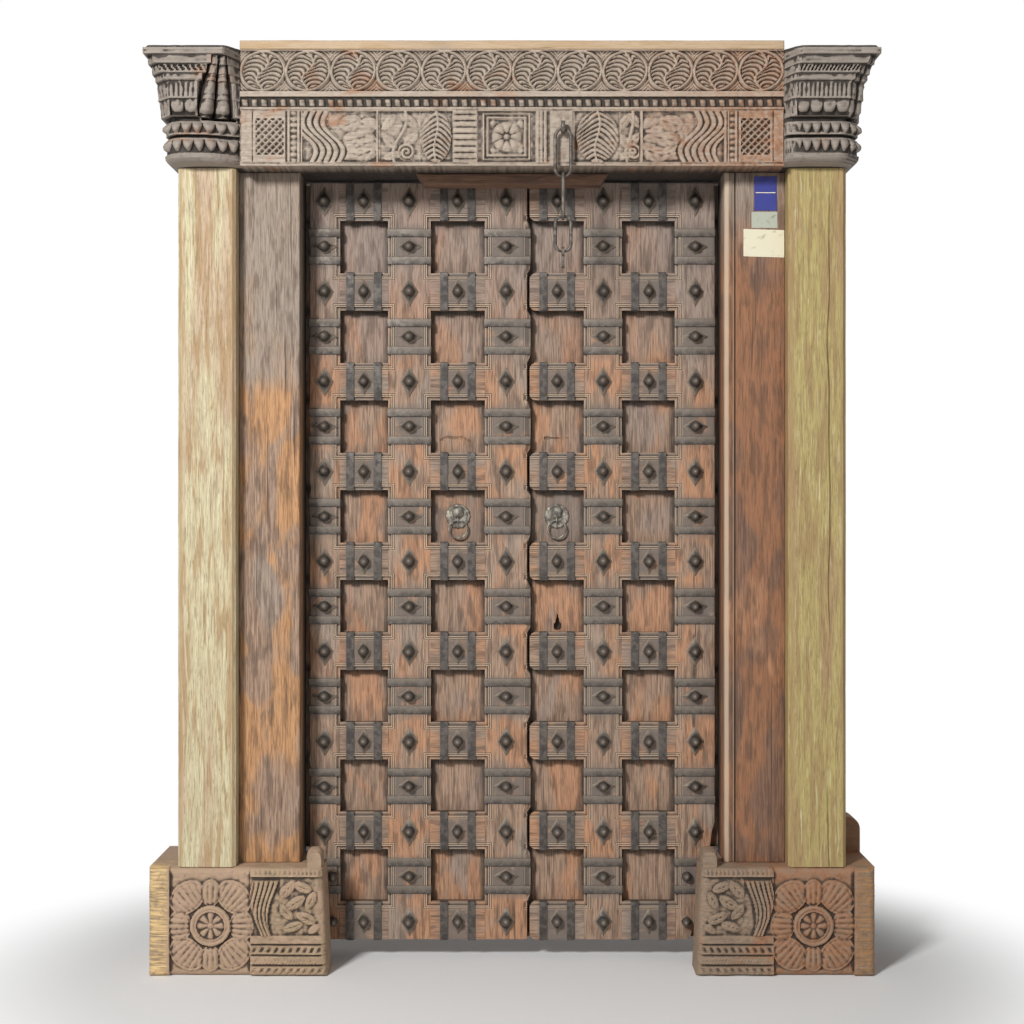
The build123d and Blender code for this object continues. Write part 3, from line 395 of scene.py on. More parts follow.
class Finish:
    """A principled finish, with short ways to add the nodes that feed it."""

    def __init__(self, name, roughness=0.7, metallic=0.0):
        self.material = bpy.data.materials.new(name)
        self.material.use_nodes = True
        self.nodes = self.material.node_tree.nodes
        self.shader = self.nodes["Principled BSDF"]
        self.shader.inputs["Roughness"].default_value = roughness
        self.shader.inputs["Metallic"].default_value = metallic
        self.place = self.nodes.new("ShaderNodeTexCoord").outputs["Object"]

    def feed(self, socket, value):
        """Links a node's output to a socket, or sets a plain value on it."""
        if isinstance(value, bpy.types.NodeSocket):
            self.material.node_tree.links.new(value, socket)
        else:
            socket.default_value = value

    def node(self, kind, inputs):
        """A new node, with its inputs fed by name or number."""
        node = self.nodes.new(kind)
        for name, value in inputs.items():
            self.feed(node.inputs[name], value)
        return node

    def grain(self, stretch, shift, detail, twist=0.0):
        """Noise stretched along an axis: features per metre along X, Y and Z."""
        mapping = self.node("ShaderNodeMapping", {"Vector": self.place, "Scale": stretch, "Location": (shift,) * 3})
        settings = {"Vector": mapping.outputs["Vector"], "Scale": 1.0, "Detail": detail, "Distortion": twist}
        texture = self.node("ShaderNodeTexNoise", settings)
        return texture.outputs["Fac"]

    def along(self, axis):
        """The place along one axis, in metres."""
        return self.node("ShaderNodeSeparateXYZ", {0: self.place}).outputs[axis]

    def mark(self, name):
        """A mark of the piece's own: tone is below nought in hollows, cracks and shaded sides, where most finishes
        paint shade, and above it on ridges and edges, where most paint highlights; stain is a share.
        """
        attribute = self.nodes.new("ShaderNodeAttribute")
        attribute.attribute_name = name
        return attribute.outputs["Fac"]

    def between(self, value, start, stop, low_end=0.0, high_end=1.0):
        """A value mapped from start..stop to a smooth range."""
        node = self.node("ShaderNodeMapRange", dict(enumerate((value, start, stop, low_end, high_end))))
        node.interpolation_type = "SMOOTHSTEP"
        return node.outputs[0]

    def mixed(self, share, first, second):
        """Two colours mixed by a share."""
        node = self.nodes.new("ShaderNodeMix")
        node.data_type = "RGBA"
        for number, value in ((0, share), (6, first), (7, second)):
            self.feed(node.inputs[number], self.full(value) if number else value)
        return node.outputs[2]

    def layers(self, base, *rows):
        """Colours laid over a base in turn. A row gives a colour, a value, the value's start and stop, and the share
        of the colour where the value reaches its stop."""
        for tint, value, start, stop, share in rows:
            base = self.mixed(self.between(value, start, stop, 0.0, share), base, tint)
        return base

    @staticmethod
    def full(value):
        """A colour with its alpha, or a node's output as it is."""
        return value if isinstance(value, bpy.types.NodeSocket) else (*value, 1.0)

    def maths(self, operation, first, second=0.0):
        """One step of arithmetic on two values."""
        node = self.node("ShaderNodeMath", {0: first, 1: second})
        node.operation = operation
        return node.outputs[0]

    def product(self, first, second):
        return self.maths("MULTIPLY", first, second)

    def near(self, value, places, reach):
        """One at any of the places along a value, and nought a reach away from them."""
        share = 0.0
        for place in places:
            away = self.maths("ABSOLUTE", self.maths("SUBTRACT", value, place))
            share = self.maths("MAXIMUM", share, self.between(away, reach, 0.0))
        return share

    def bumps(self, height, depth, strength):
        """A bump of the shader's normal from a height of that depth in metres."""
        node = self.node("ShaderNodeBump", {"Strength": strength, "Distance": depth, "Height": height})
        self.feed(self.shader.inputs["Normal"], node.outputs["Normal"])

    def done(self, base, roughness):
        """Feeds the shader its colour and its roughness."""
        self.feed(self.shader.inputs["Base Color"], base)
        self.feed(self.shader.inputs["Roughness"], roughness)


# Dirt and wear that the finishes share, with painted light among them: the hollow colour of the first row is painted
# shade in hollows and its third colour is painted shade in corners, made grimy; the rubbed colour is wear with a
# painted highlight on edges; the iron's hollow colour is painted shade.
SHADE_IN_HOLLOWS, CRACK, CORNER_SHADE_AND_GRIME = (0.018, 0.012, 0.008), (0.022, 0.014, 0.010), (0.028, 0.020, 0.015)
SMEAR, RUBBED_AND_HIGHLIGHT = (0.150, 0.124, 0.105), (0.56, 0.43, 0.31)
PAINT_CHALK, PAINT_HOLLOW = (0.80, 0.74, 0.54), (0.03, 0.02, 0.014)
PLATE_WEAR, PAPER_WEAR = (0.05, 0.05, 0.12), (0.50, 0.44, 0.30)
TORN_PAPER, TORN_WEAR = (0.42, 0.44, 0.36), (0.20, 0.20, 0.16)
IRON_SHADE, IRON_DUST, IRON_PIT = (0.02, 0.016, 0.013), (0.46, 0.37, 0.28), (0.035, 0.027, 0.021)


def stretched(axis, fine, coarse):
    """Noise scales with the coarse figure along the grain and the fine one across it."""
    return tuple(coarse if number == axis else fine for number in range(3))


def blended(first, second, share):
    """A colour a share of the way from the first to the second."""
    return tuple((1 - share) * a + share * b for a, b in zip(first, second))


def timber(name, axis, dark, light, patch, patch_from, grey, grey_from, shift,
           top=None, top_from=(1.4, 1.9), shade_and_grime=None):
    """Sawn and weathered teak: fine streaks along the grain, broad patches of a warmer and a greyer brown,
    dark checks along the grain, painted shade in hollows and a painted highlight with some wear on ridges, black stain
    where iron lies on it, and painted shade, made grimy, on a front face in the corners below and beside given levels
    and places.
    Above a level it turns towards a top colour: weathered grey, and on the leaves also painted shade under the head
    beam."""
    finish = Finish(name)
    streak = finish.grain(stretched(axis, 330, 11), shift, 8.0, 0.4)
    fibre = finish.grain(stretched(axis, 900, 26), shift + 3.0, 4.0)
    broad = finish.grain(stretched(axis, 11, 5), shift + 7.0, 3.0, 0.4)
    cloud = finish.grain(stretched(axis, 7, 3), shift + 11.0, 3.0, 0.4)
    mottle = finish.grain(stretched(axis, 330, 24), shift + 15.0, 9.0, 0.4)
    drift = finish.grain(stretched(axis, 60, 12), shift + 23.0, 9.0, 0.15)
    check = finish.grain(stretched(axis, 95, 2.2), shift + 19.0, 3.0, 0.3)
    blotch = finish.grain((26, 26, 26), shift + 2.0, 6.0, 0.5)
    tone = finish.mark("tone")
    base = finish.layers(
        blended(dark, light, 0.55), (light, streak, 0.3, 0.7, 1.0),
        (patch, broad, patch_from, patch_from + 0.12, 0.8), (grey, cloud, grey_from, grey_from + 0.10, 0.7),
    )
    # Towards the top colour above a level: weathered grey on the jambs, and on the leaves weathered grey with painted
    # shade under the head beam.
    if top is not None:
        faded = finish.between(cloud, 0.25, 0.55, 0.45, 0.95)
        base = finish.mixed(finish.product(finish.between(finish.along(Z), *top_from), faded), base, top)
    base = finish.layers(
        base, (dark, fibre, 0.45, 0.75, 0.65), (dark, streak, 0.5, 0.3, 0.35), (dark, mottle, 0.48, 0.70, 0.45),
        (dark, drift, 0.50, 0.64, 0.5), (CRACK, check, 0.67, 0.71, 0.7),
    )
    base = finish.mixed(finish.product(finish.mark("stain"), finish.between(blotch, 0.25, 0.5)), base, SMEAR)
    # Painted shade, made patchy and grimy by noise, on the front face below the rails and beside the stiles, where
    # shade falls in the recesses.
    if shade_and_grime is not None:
        places, levels, face = shade_and_grime
        beside, below = finish.near(finish.along(X), places, 20 * MM), finish.near(finish.along(Z), levels, 26 * MM)
        patchy_shade_and_grime = finish.between(finish.grain((40, 40, 40), shift + 6.0, 6.0), 0.25, 0.6, 0.55, 0.92)
        corner = finish.product(finish.maths("MAXIMUM", beside, below), patchy_shade_and_grime)
        corner = finish.product(corner, finish.between(finish.along(Y), face + 8 * MM, face + 4 * MM))
        base = finish.mixed(corner, base, CORNER_SHADE_AND_GRIME)
    # Painted shade in hollows and on shaded sides, and a painted highlight with some wear on ridges and edges.
    base = finish.layers(base, (SHADE_IN_HOLLOWS, tone, -0.1, -0.9, 0.94), (RUBBED_AND_HIGHLIGHT, tone, 0.15, 0.9, 0.7))
    finish.bumps(finish.mixed(0.5, fibre, streak), 0.9 * MM, 0.7)
    finish.done(base, finish.between(streak, 0.2, 0.8, 0.84, 0.62))


def carved(name, dark, light, warm, warm_from, bare, shift, warm_side=None):
    """Old carved teak: pale dusty ridges with a painted highlight over dark grounds in painted shade, brown patches,
    fine streaks across the gate, and bare end grain where the piece is marked for it."""
    finish = Finish(name)
    streak = finish.grain(stretched(X, 260, 14), shift, 7.0, 0.5)
    dust = finish.grain((60, 60, 60), shift + 5.0, 8.0, 0.6)
    broad = finish.grain(stretched(Z, 9, 15), shift + 9.0, 6.0, 0.6)
    stale = finish.grain(stretched(Z, 17, 30), shift + 14.0, 7.0, 0.6)
    rings = finish.grain(stretched(Z, 20, 330), shift + 3.0, 4.0, 0.3)
    tone = finish.mark("tone")
    middle = blended(dark, light, 0.6)
    base = finish.layers(
        middle, (light, streak, 0.3, 0.7, 1.0), (warm, broad, warm_from, warm_from + 0.12, 0.75),
        (middle, stale, 0.48, 0.64, 0.6),
    )
    if warm_side is not None:
        patchy = finish.between(dust, 0.35, 0.6, 0.3, 0.85)
        base = finish.mixed(finish.product(finish.between(finish.along(X), *warm_side), patchy), base, warm)
    base = finish.mixed(finish.mark("stain"), base, finish.layers(bare, (middle, rings, 0.35, 0.65, 1.0)))
    # Dust in patches, then painted shade in hollows and a painted highlight with dust on ridges.
    base = finish.layers(
        base, (dark, dust, 0.5, 0.75, 0.45), (SHADE_IN_HOLLOWS, tone, 0.05, -0.6, 0.93), (light, tone, 0.05, 0.7, 0.45)
    )
    finish.bumps(finish.mixed(0.5, streak, dust), 1.6 * MM, 0.85)
    finish.done(base, finish.between(dust, 0.3, 0.7, 0.88, 0.66))


def flaking_paint(name, paint, second, wood, dark, shift=0.0):
    """Thin old paint on an upright: two tones in broad drifts, rubbed along the grain to tan wood,
    and gone in small flakes."""
    finish = Finish(name)
    streak = finish.grain(stretched(Z, 300, 8), shift, 8.0, 0.4)
    worn = finish.grain(stretched(Z, 70, 5), shift + 4.0, 9.0, 0.7)
    flakes = finish.grain(stretched(Z, 330, 40), shift + 8.0, 6.0, 0.4)
    broad = finish.grain(stretched(Z, 14, 1.6), shift + 12.0, 5.0, 0.5)
    mottle = finish.grain(stretched(Z, 240, 13), shift + 16.0, 9.0, 0.7)
    fibre = finish.grain(stretched(Z, 620, 34), shift + 20.0, 6.0, 0.3)
    tone = finish.mark("tone")
    middle = blended(dark, wood, 0.4)
    base = finish.layers(
        paint, (second, broad, 0.48, 0.64, 1.0), (PAINT_CHALK, mottle, 0.43, 0.30, 0.45),
        (wood, streak, 0.42, 0.68, 0.5), (wood, worn, 0.50, 0.60, 0.8), (middle, mottle, 0.53, 0.68, 0.45),
        (middle, fibre, 0.46, 0.66, 0.5), (middle, flakes, 0.60, 0.68, 0.5),
        (PAINT_HOLLOW, tone, -0.1, -0.9, 0.9), (wood, tone, 0.2, 0.9, 0.8),
    )
    finish.bumps(finish.mixed(0.5, worn, streak), 0.8 * MM, 0.6)
    finish.done(base, finish.between(worn, 0.35, 0.65, 0.6, 0.8))


def forged(name, dark, worn, shift=0.0):
    """Hand-forged iron: dull dark scale, rubbed lighter on its high parts with a painted highlight, painted shade where
    its tone is low, and rusted in clouds.
    """
    finish = Finish(name, metallic=0.25)
    scale = finish.grain((70, 70, 70), shift, 8.0, 0.5)
    pits = finish.grain((420, 420, 420), shift + 5.0, 4.0)
    tone = finish.mark("tone")
    # Tone above nought paints a highlight with wear, below nought painted shade.
    base = finish.layers(
        dark, (worn, scale, 0.35, 0.68, 1.0), (worn, tone, 0.0, 1.0, 0.9), (IRON_SHADE, tone, 0.0, -1.0, 0.9)
    )
    base = finish.mixed(finish.product(finish.mark("stain"), 0.8), base, IRON_DUST)
    base = finish.layers(base, (IRON_PIT, pits, 0.52, 0.72, 0.6))
    finish.bumps(finish.mixed(0.6, pits, scale), 0.8 * MM, 0.7)
    finish.done(base, finish.between(scale, 0.3, 0.7, 0.66, 0.44))


def enamel(name, coat, wear, shift=0.0):
    """A thin coat with worn and dirty patches."""
    finish = Finish(name)
    patches = finish.grain((60, 60, 60), shift, 8.0, 0.4)
    finish.bumps(patches, 0.3 * MM, 0.4)
    finish.done(finish.layers(coat, (wear, patches, 0.55, 0.72, 1.0)), finish.between(patches, 0.4, 0.7, 0.4, 0.75))


class GATE_OT_finishes(Operator):
    """Makes the finishes of the timber, paint and iron"""

    bl_idname = "gate.finishes"
    bl_label = "Finishes"

    def execute(self, context):
        tint = context.scene.gate_colours
        dark, light, grey, weathered_shade = tint.teak_dark, tint.teak_light, tint.weather_grey, tint.teak_weathered_shade
        red, brown, ground = tint.teak_red, tint.jamb_red, tint.carving_dark
        # Stile edges, rail undersides and plank face for the painted shade in the recess corners of the planks.
        corners = ([edge for side in LEAVES for column in recess_columns(side) for edge in column],
                   [level - RAIL_HALF for level in RAIL_LEVELS], low("left_meeting_plank", Y))
        timber("leaf_upright", Z, dark, light, red, 0.44, grey, 0.54, 0.0, weathered_shade)
        timber("leaf_cross", X, dark, light, red, 0.42, grey, 0.56, 2.0, weathered_shade)
        timber("leaf_plank", Z, dark, light, red, 0.46, weathered_shade, 0.53, 5.0, weathered_shade, shade_and_grime=corners)
        timber("left_jamb_teak", Z, dark, light, tint.teak_orange, 0.42, grey, 0.60, 9.0, grey, (1.42, 1.49))
        timber("right_jamb_teak", Z, dark, tint.jamb_brown, brown, 0.40, red, 0.60, 14.0, grey, (1.7, 2.0))
        timber("stop_teak", X, dark, tint.jamb_brown, tint.jamb_brown, 0.5, dark, 0.5, 6.0)
        timber("pale_board", X, tint.worn_wood, tint.raw_wood, tint.raw_wood, 0.4, grey, 0.62, 4.0)
        carved("old_carving", ground, tint.carving_light, brown, 0.56, light, 0.0, (0.10, 0.70))
        carved("capital_carving", ground, tint.capital_light, brown, 0.58, light, 3.0)
        carved("left_plinth_teak", ground, tint.plinth_light, light, 0.47, tint.end_grain, 6.0, (-0.61, -0.65))
        carved("right_plinth_teak", ground, tint.plinth_dull, brown, 0.56, tint.plinth_orange, 13.0, (0.61, 0.65))
        flaking_paint("left_paint", tint.paint_pale, tint.raw_wood, tint.worn_wood, dark)
        flaking_paint("right_paint", tint.paint_olive, tint.worn_wood, tint.olive_ground, dark, 21.0)
        forged("black_iron", tint.iron, tint.iron_worn)
        forged("pull_bronze", tint.iron_worn, tint.bronze, 4.0)
        forged("chain_iron", tint.iron_black, tint.chain_worn, 7.0)
        enamel("blue_enamel", tint.plate_blue, PLATE_WEAR)
        enamel("old_paper", tint.paper, PAPER_WEAR, 3.0)
        enamel("worn_paper", TORN_PAPER, TORN_WEAR, 8.0)
        return {"FINISHED"}


# Frame


class GATE_OT_posts(Operator):
    """Jambs with a beaded inner edge, and the painted pilasters outside them"""

    bl_idname = "gate.posts"
    bl_label = "Jambs and pilasters"

    bead_width: length("Bead width", "Bead along a jamb's inner edge", 24 * MM)
    groove_width: length("Groove width", "Groove beside the bead", 5 * MM)
    groove_depth: length("Groove depth", "Depth of that groove", 6 * MM)
    chamfer: length("Chamfer", "Chamfer of a pilaster's front edges", 8 * MM)

    # Places of the groove's edges and floor beyond the bead, in groove widths, and the swing of a pilaster's check.
    groove_places = np.array([-0.1, 0.2, 0.8, 1.1])
    wander = 4 * MM

    def execute(self, context):
        arris = context.scene.gate_sizes.arris
        for side, name in SIDES:
            add_piece(f"{name}_jamb", [self.jamb(f"jamb_{name}", side, arris)], f"{name}_jamb_teak",
                      "frame", [f"jamb_{name}"])
            add_piece(f"{name}_pilaster", [self.pilaster(f"pilaster_{name}", side)], f"{name}_paint",
                      "frame", [f"pilaster_{name}"])
        return {"FINISHED"}

    def jamb(self, node, side, arris):
        """A post face: flat, with a groove beside a round bead at the inner edge and rounded arrises,
        and slow waves of wear along its edges."""
        x_span, z_span = span(node, X), span(node, Z)
        inner = min(x_span, key=abs)
        groove = self.bead_width + self.groove_width * self.groove_places
        bead = np.linspace(0, self.bead_width, 9)
        x_lines = lines(edge_lines(*x_span, arris, 0.02), inner + side * groove, inner + side * bead)
        z_lines = edge_lines(*z_span, arris, 0.025)
        x, z = np.meshgrid(x_lines, z_lines)
        away = np.abs(x - inner)
        cut = np.interp(away, groove, [0, 1, 1, 0])
        swell = np.where(away < self.bead_width, 1 - (2 * away / self.bead_width - 1) ** 2, 1)
        share = 1.0 if side > 0 else 0.2
        depth = share * (cut + 0.7 * (1 - swell)) * self.groove_depth
        depth = depth + rounding(x, z, x_span, z_span, arris) + wear(x, z, x_span, side)
        # Tone: painted shade in the groove and painted highlights on the bead.
        tone = share * (np.where(cut > 0.5, -0.6, 0.0) + ridge(away - 0.006, 0.008) + ridge(away - 0.023, 0.002))
        return relief_block(x, low(node, Y) + depth, z, high(node, Y), tone, 0.0, SIDE_SHADE)

    def pilaster(self, node, side):
        """A post face with chamfered arrises, long checks and slow waves."""
        x_span, z_span = span(node, X), span(node, Z)
        cuts = self.chamfer * np.array([0, 0.5, 1, 1.3])
        check_x = x_span[0] + (x_span[1] - x_span[0]) * (0.7 if side > 0 else 0.28)
        check_lines = check_x + self.wander * np.linspace(-1, 1, 7)
        x_lines = lines(x_span[0] + cuts, x_span[1] - cuts, spread(*x_span, 0.012), check_lines)
        x, z = np.meshgrid(x_lines, spread(*z_span, 0.02))
        swing = self.wander * noise(z, z * 0, 0.12, 5)
        x = x + swing * ridge(x - check_x, 0.03)
        inside = np.minimum(x - x_span[0], x_span[1] - x)
        depth = np.clip(self.chamfer - inside, 0, None) + wear(x, z, x_span, side)
        open_share = smooth(0.5 + noise(z, z * 0, 0.35, 8 + side))
        check = ridge(x - check_x - swing, 0.0022) * open_share * (0.6 if side > 0 else 0.0)
        tone = -check + 0.7 * ridge(inside - self.chamfer, self.chamfer)
        return relief_block(x, low(node, Y) + depth + 0.005 * check, z, high(node, Y), tone)


def wear(x, z, x_span, seed):
    """Slow waves of a hand-dressed face and small bruises near its edges."""
    inside = np.minimum(x - x_span[0], x_span[1] - x)
    bruise = np.clip(noise(x, z, 0.035, 31 + seed), 0.2, 1) - 0.2
    return 0.0012 * (1 + noise(x, z, 0.16, 17 + seed)) + 0.004 * bruise * ridge(inside, 0.02)


class GATE_OT_plinths(Operator):
    """Carved plinths: a rosette on the outer half, a plume and stepped mouldings on the inner half"""

    bl_idname = "gate.plinths"
    bl_label = "Plinths"

    relief: length("Relief", "Depth of the carving", 12 * MM)
    batter: length("Batter", "How far the inner end leans in at the top", 12 * MM)
    strip: length("Plain strip", "Plain end-grain strip at the outer edge", 52 * MM)
    rosette_place: length("Rosette place", "Rosette centre from the outer edge", 152 * MM)
    rosette_level: length("Rosette level", "Rosette centre above the floor", 124 * MM)
    boss: length("Boss", "Radius of the rosette's boss", 50 * MM)
    inner_part: length("Inner part", "Where the mouldings begin, from the outer edge", 262 * MM)
    band: length("Band", "Height of a moulding", 25 * MM)
    nose_depth: length("Nose depth", "Depth of the nose in front of the leaf", 120 * MM)
    nose_width: length("Nose width", "How far the nose laps in front of the leaf", 65 * MM)
    height: length("Height", "Height of a plinth", 267 * MM)
    ear_width: length("Ear width", "Width of the raised ear", 42 * MM)
    ear_depth: length("Ear depth", "Depth of the raised ear", 60 * MM)

    # Width and depth of the upstand at the right plinth's rear.
    stub_width, stub_depth = 62 * MM, 80 * MM
    # Angle in degrees, distance from the rosette's middle, half width and half depth of its lobes.
    lobes = (
        *((angle, 0.090, 0.050, 0.038) for angle in (50, 130, 230, 310)),
        *((angle, 0.076, 0.040, 0.031) for angle in (0, 180)),
        *((angle, 0.080, 0.026, 0.034) for angle in (90, 270)),
    )
    # Place, level, half length, half width and lean of the leaves beside the plume.
    spray = (
        (-0.030, 0.040, 0.026, 0.014, 0.8), (0.012, 0.046, 0.026, 0.013, -0.3), (0.034, 0.014, 0.024, 0.013, 1.0),
        (-0.008, 0.008, 0.030, 0.014, 0.5), (-0.034, -0.014, 0.024, 0.012, -0.8),
        (0.020, -0.030, 0.028, 0.013, -0.4), (-0.014, -0.050, 0.026, 0.012, 0.3),
        (0.040, -0.056, 0.018, 0.010, 0.6),
    )

    def execute(self, context):
        grid = context.scene.gate_sizes.carving_grid
        for side, name in SIDES:
            node = f"plinth_{name}"
            parts = [self.front(node, side, grid), self.rear(node, side), self.ear(node, side)]
            if side > 0:
                parts.append(self.stub(node))
            add_piece(f"{name}_plinth", parts, f"{name}_plinth_teak", "frame", [node], 50)
        return {"FINISHED"}

    def front(self, node, side, grid):
        """The carved front block: a height above a sunk ground over distance in from the outer edge and level."""
        x_span = span(node, X)
        x_lines, z_lines = spread(*x_span, grid), spread(0, self.height, grid)
        x, z = np.meshgrid(x_lines, z_lines)
        inward = side * (max(x_span, key=abs) - x)
        raised = np.maximum(self.rosette(inward, z), self.inner_carving(inward, z, x_span[1] - x_span[0]))
        end_grain = self.relief * (0.86 + 0.1 * noise(z, z * 0, 0.0065, 3) + 0.06 * noise(x, z, 0.02, 4))
        raised = np.where(inward < self.strip, end_grain, raised)
        raised = raised * (0.88 + 0.12 * noise(x, z, 0.04, 14)) + 0.0007 * noise(x, z, 0.006, 9)
        raised = raised + 0.001 * noise(x, z, 0.018, 10)
        front = low(node, Y)
        fall = rounding(x, z, x_span, (0, self.height), 0.016) + 0.003 * np.clip(noise(x, z, 0.05, 11), 0, 1)
        face = np.clip(front + self.relief - raised, front, front + self.relief) + fall
        inside = np.minimum.reduce([z, self.height - z, x - x_span[0], x_span[1] - x])
        # Tone: painted shade in the carving's hollows and a painted highlight on its ridges, fading at the border,
        # where a lighter band stands for dust and wear.
        tone = cavity(face, 4) * smooth(inside / 0.02) + 0.25 * ridge(inside, 0.012)
        strip = smooth((self.strip - inward) / 0.012)
        lean = side * self.batter * smooth((inward - x_span[1] + x_span[0] + 0.10) / 0.10) * z / self.height
        return relief_block(x + lean, face, z, front + self.nose_depth, tone * (1 - 0.7 * strip), strip)

    def rosette(self, inward, z):
        """Lobes as half ellipsoids with radial veins round a dished boss with a ring and a small flower."""
        p, q = inward - self.rosette_place, z - self.rosette_level
        r, angle = np.hypot(p, q), np.arctan2(q, p)
        raised = np.zeros_like(r)
        for degrees, reach, wide, deep in self.lobes:
            lean = math.radians(degrees)
            tangent = -p * math.sin(lean) + q * math.cos(lean)
            radial = p * math.cos(lean) + q * math.sin(lean) - reach
            inside = 1 - (tangent / wide) ** 2 - (radial / deep) ** 2
            vein = 0.87 + 0.13 * np.cos(2 * math.pi * tangent / (0.0135 * (1 + 7 * radial)))
            rim = 1 + 0.45 * ridge(inside - 0.14, 0.13) - 0.22 * ridge(inside - 0.34, 0.08)
            raised = np.maximum(raised, self.relief * np.sqrt(np.clip(inside, 0, 1)) * vein * rim * (inside > 0))
        dish = 0.0085 + 0.0035 * ridge(r - self.boss + 0.005, 0.005) + 0.002 * ridge(r - self.boss + 0.014, 0.003)
        flower_r = r / (self.boss - 0.014)
        petals = 0.005 * np.clip(np.cos(4 * angle) ** 2 * 1.3, 0, 1) * ridge(flower_r - 0.6, 0.38)
        dish = dish - 0.004 * (flower_r < 0.95) + petals + 0.004 * ridge(flower_r, 0.2)
        return np.where(r < self.boss, dish, raised)

    def inner_carving(self, inward, z, width):
        """Stepped bands with slanted teeth and chevrons at the foot, a plume and a leafy panel above, a top band."""
        bands = np.floor(z / self.band)
        within = z / self.band - bands
        foot = self.relief * (1 - 0.14 * bands) - 0.004 * (within < 0.16)
        teeth = 0.0035 * (np.cos(2 * math.pi * (inward / 0.018 - 0.7 * within)) > 0.1) * (np.abs(within - 0.58) < 0.27)
        chevron = 0.0025 * np.cos(2 * math.pi * (inward / 0.016 + np.abs(within - 0.55) * 1.1))
        foot = foot - np.where(bands % 2 == 0, teeth, np.where(bands == 1, np.abs(chevron), 0))
        raised = self.plume(inward - self.inner_part - 0.026, z - 4 * self.band)
        leafy = leaves(inward - self.inner_part - 0.108, z - 0.172, self.spray)
        leafy = 0.003 + 0.001 * noise(inward, z, 0.012, 12) + 0.008 * leafy
        leafy = np.where((inward > self.inner_part + 0.060) & (inward < width - 0.012), leafy, 0.0025)
        raised = np.maximum(raised, leafy)
        raised = np.where(z < 4 * self.band, foot, raised)
        top = self.height - z
        head = 0.0105 - 0.003 * (np.cos(2 * math.pi * inward / 0.012) > 0.2) * (np.abs(top - 0.012) < 0.006)
        raised = np.where(top < 0.024, head, raised)
        return np.where(inward > self.inner_part - 0.012, raised, 0)

    def plume(self, p, q):
        """A tail of bent feathers that widens upwards: streams inside a leaning, tapering outline."""
        tall = 0.135
        lean = p + 0.014 * np.sin(math.pi * q / tall)
        outline = (np.abs(lean) < 0.012 + 0.020 * smooth(q / tall)) & (q > 0) & (q < tall)
        return self.relief * np.where(outline, 0.45 + 0.5 * streams(lean * (1 - 2.2 * q), q, 0.0085, 0.15, 0.003), 0)

    def rear(self, node, side):
        """The plain block behind the front, with a round pocket for the pivot cup: rings from the pocket's floor,
        up its wall, out to the block's edges, down and in underneath."""
        inner = low(node, X) + self.nose_width if side > 0 else high(node, X) - self.nose_width
        x_span = sorted((inner, max(span(node, X), key=abs)))
        y_span = (low(node, Y) + self.nose_depth, high(node, Y))
        cup_low, cup_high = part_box("pivot_cups")
        centre = np.array([side * (cup_high[X] - (cup_high[Y] - cup_low[Y]) / 2), (cup_low[Y] + cup_high[Y]) / 2])
        radius = (cup_high[Y] - cup_low[Y]) / 2 + 0.0004
        corners = np.array([(x_span[i], y_span[j]) for i, j in ((1, 1), (0, 1), (0, 0), (1, 0))])
        steps = np.linspace(0, 1, 12, endpoint=False)[None, :, None]
        outline = (corners[:, None] + steps * (np.roll(corners, -1, axis=0) - corners)[:, None]).reshape(-1, 2)
        away = outline - centre
        circle = centre + radius * away / np.hypot(away[:, 0], away[:, 1])[:, None]
        levels = ((circle, cup_low[Z]), (circle, self.height), (outline, self.height), (outline, 0.0))
        rings = np.stack([np.column_stack([plan, np.full(len(plan), level)]) for plan, level in levels])
        return lofted(rings[::-1])

    def ear(self, node, side):
        """A rounded upstand on the nose: an arch outline carried back, swelling in the middle."""
        nose = min(span(node, X), key=abs)
        middle = nose + side * (self.batter + self.ear_width / 2)
        top = high("plinth_left", Z) - self.height
        angle = np.linspace(0, math.pi, 17)
        across = np.concatenate([[1.0], np.sign(np.cos(angle)) * np.abs(np.cos(angle)) ** 0.6, [-1.0]])
        rise = np.concatenate([[0.0], 0.35 + 0.65 * np.sin(angle) ** 0.8, [0.0]])
        depth = np.linspace(0, 1, 7)
        swell = 0.82 + 0.18 * np.sin(math.pi * depth) ** 0.5
        x = middle + self.ear_width / 2 * across[None] * swell[:, None]
        z = self.height - 0.002 + (top + 0.002) * rise[None] * swell[:, None]
        y = np.broadcast_to(low(node, Y) + self.relief + self.ear_depth * depth[:, None], x.shape)
        return lofted(np.stack([x, y, z], axis=-1)[::-1])

    def stub(self, node):
        """The short upstand at the outer rear corner: a quarter-round top carried across its depth."""
        right, back, top = high(node, X), high(node, Y), high(node, Z)
        left, foot, radius = right - self.stub_width, self.height - MM, self.stub_width / 2
        turn = np.linspace(0, math.pi / 2, 8)
        x = np.concatenate([[left, left], right - radius + radius * np.sin(turn), [right]])
        z = np.concatenate([[foot, top], top - radius + radius * np.cos(turn), [foot]])
        y = np.linspace(back - self.stub_depth, back, 3)[:, None]
        return lofted(np.stack(np.broadcast_arrays(x, y, z), axis=-1))


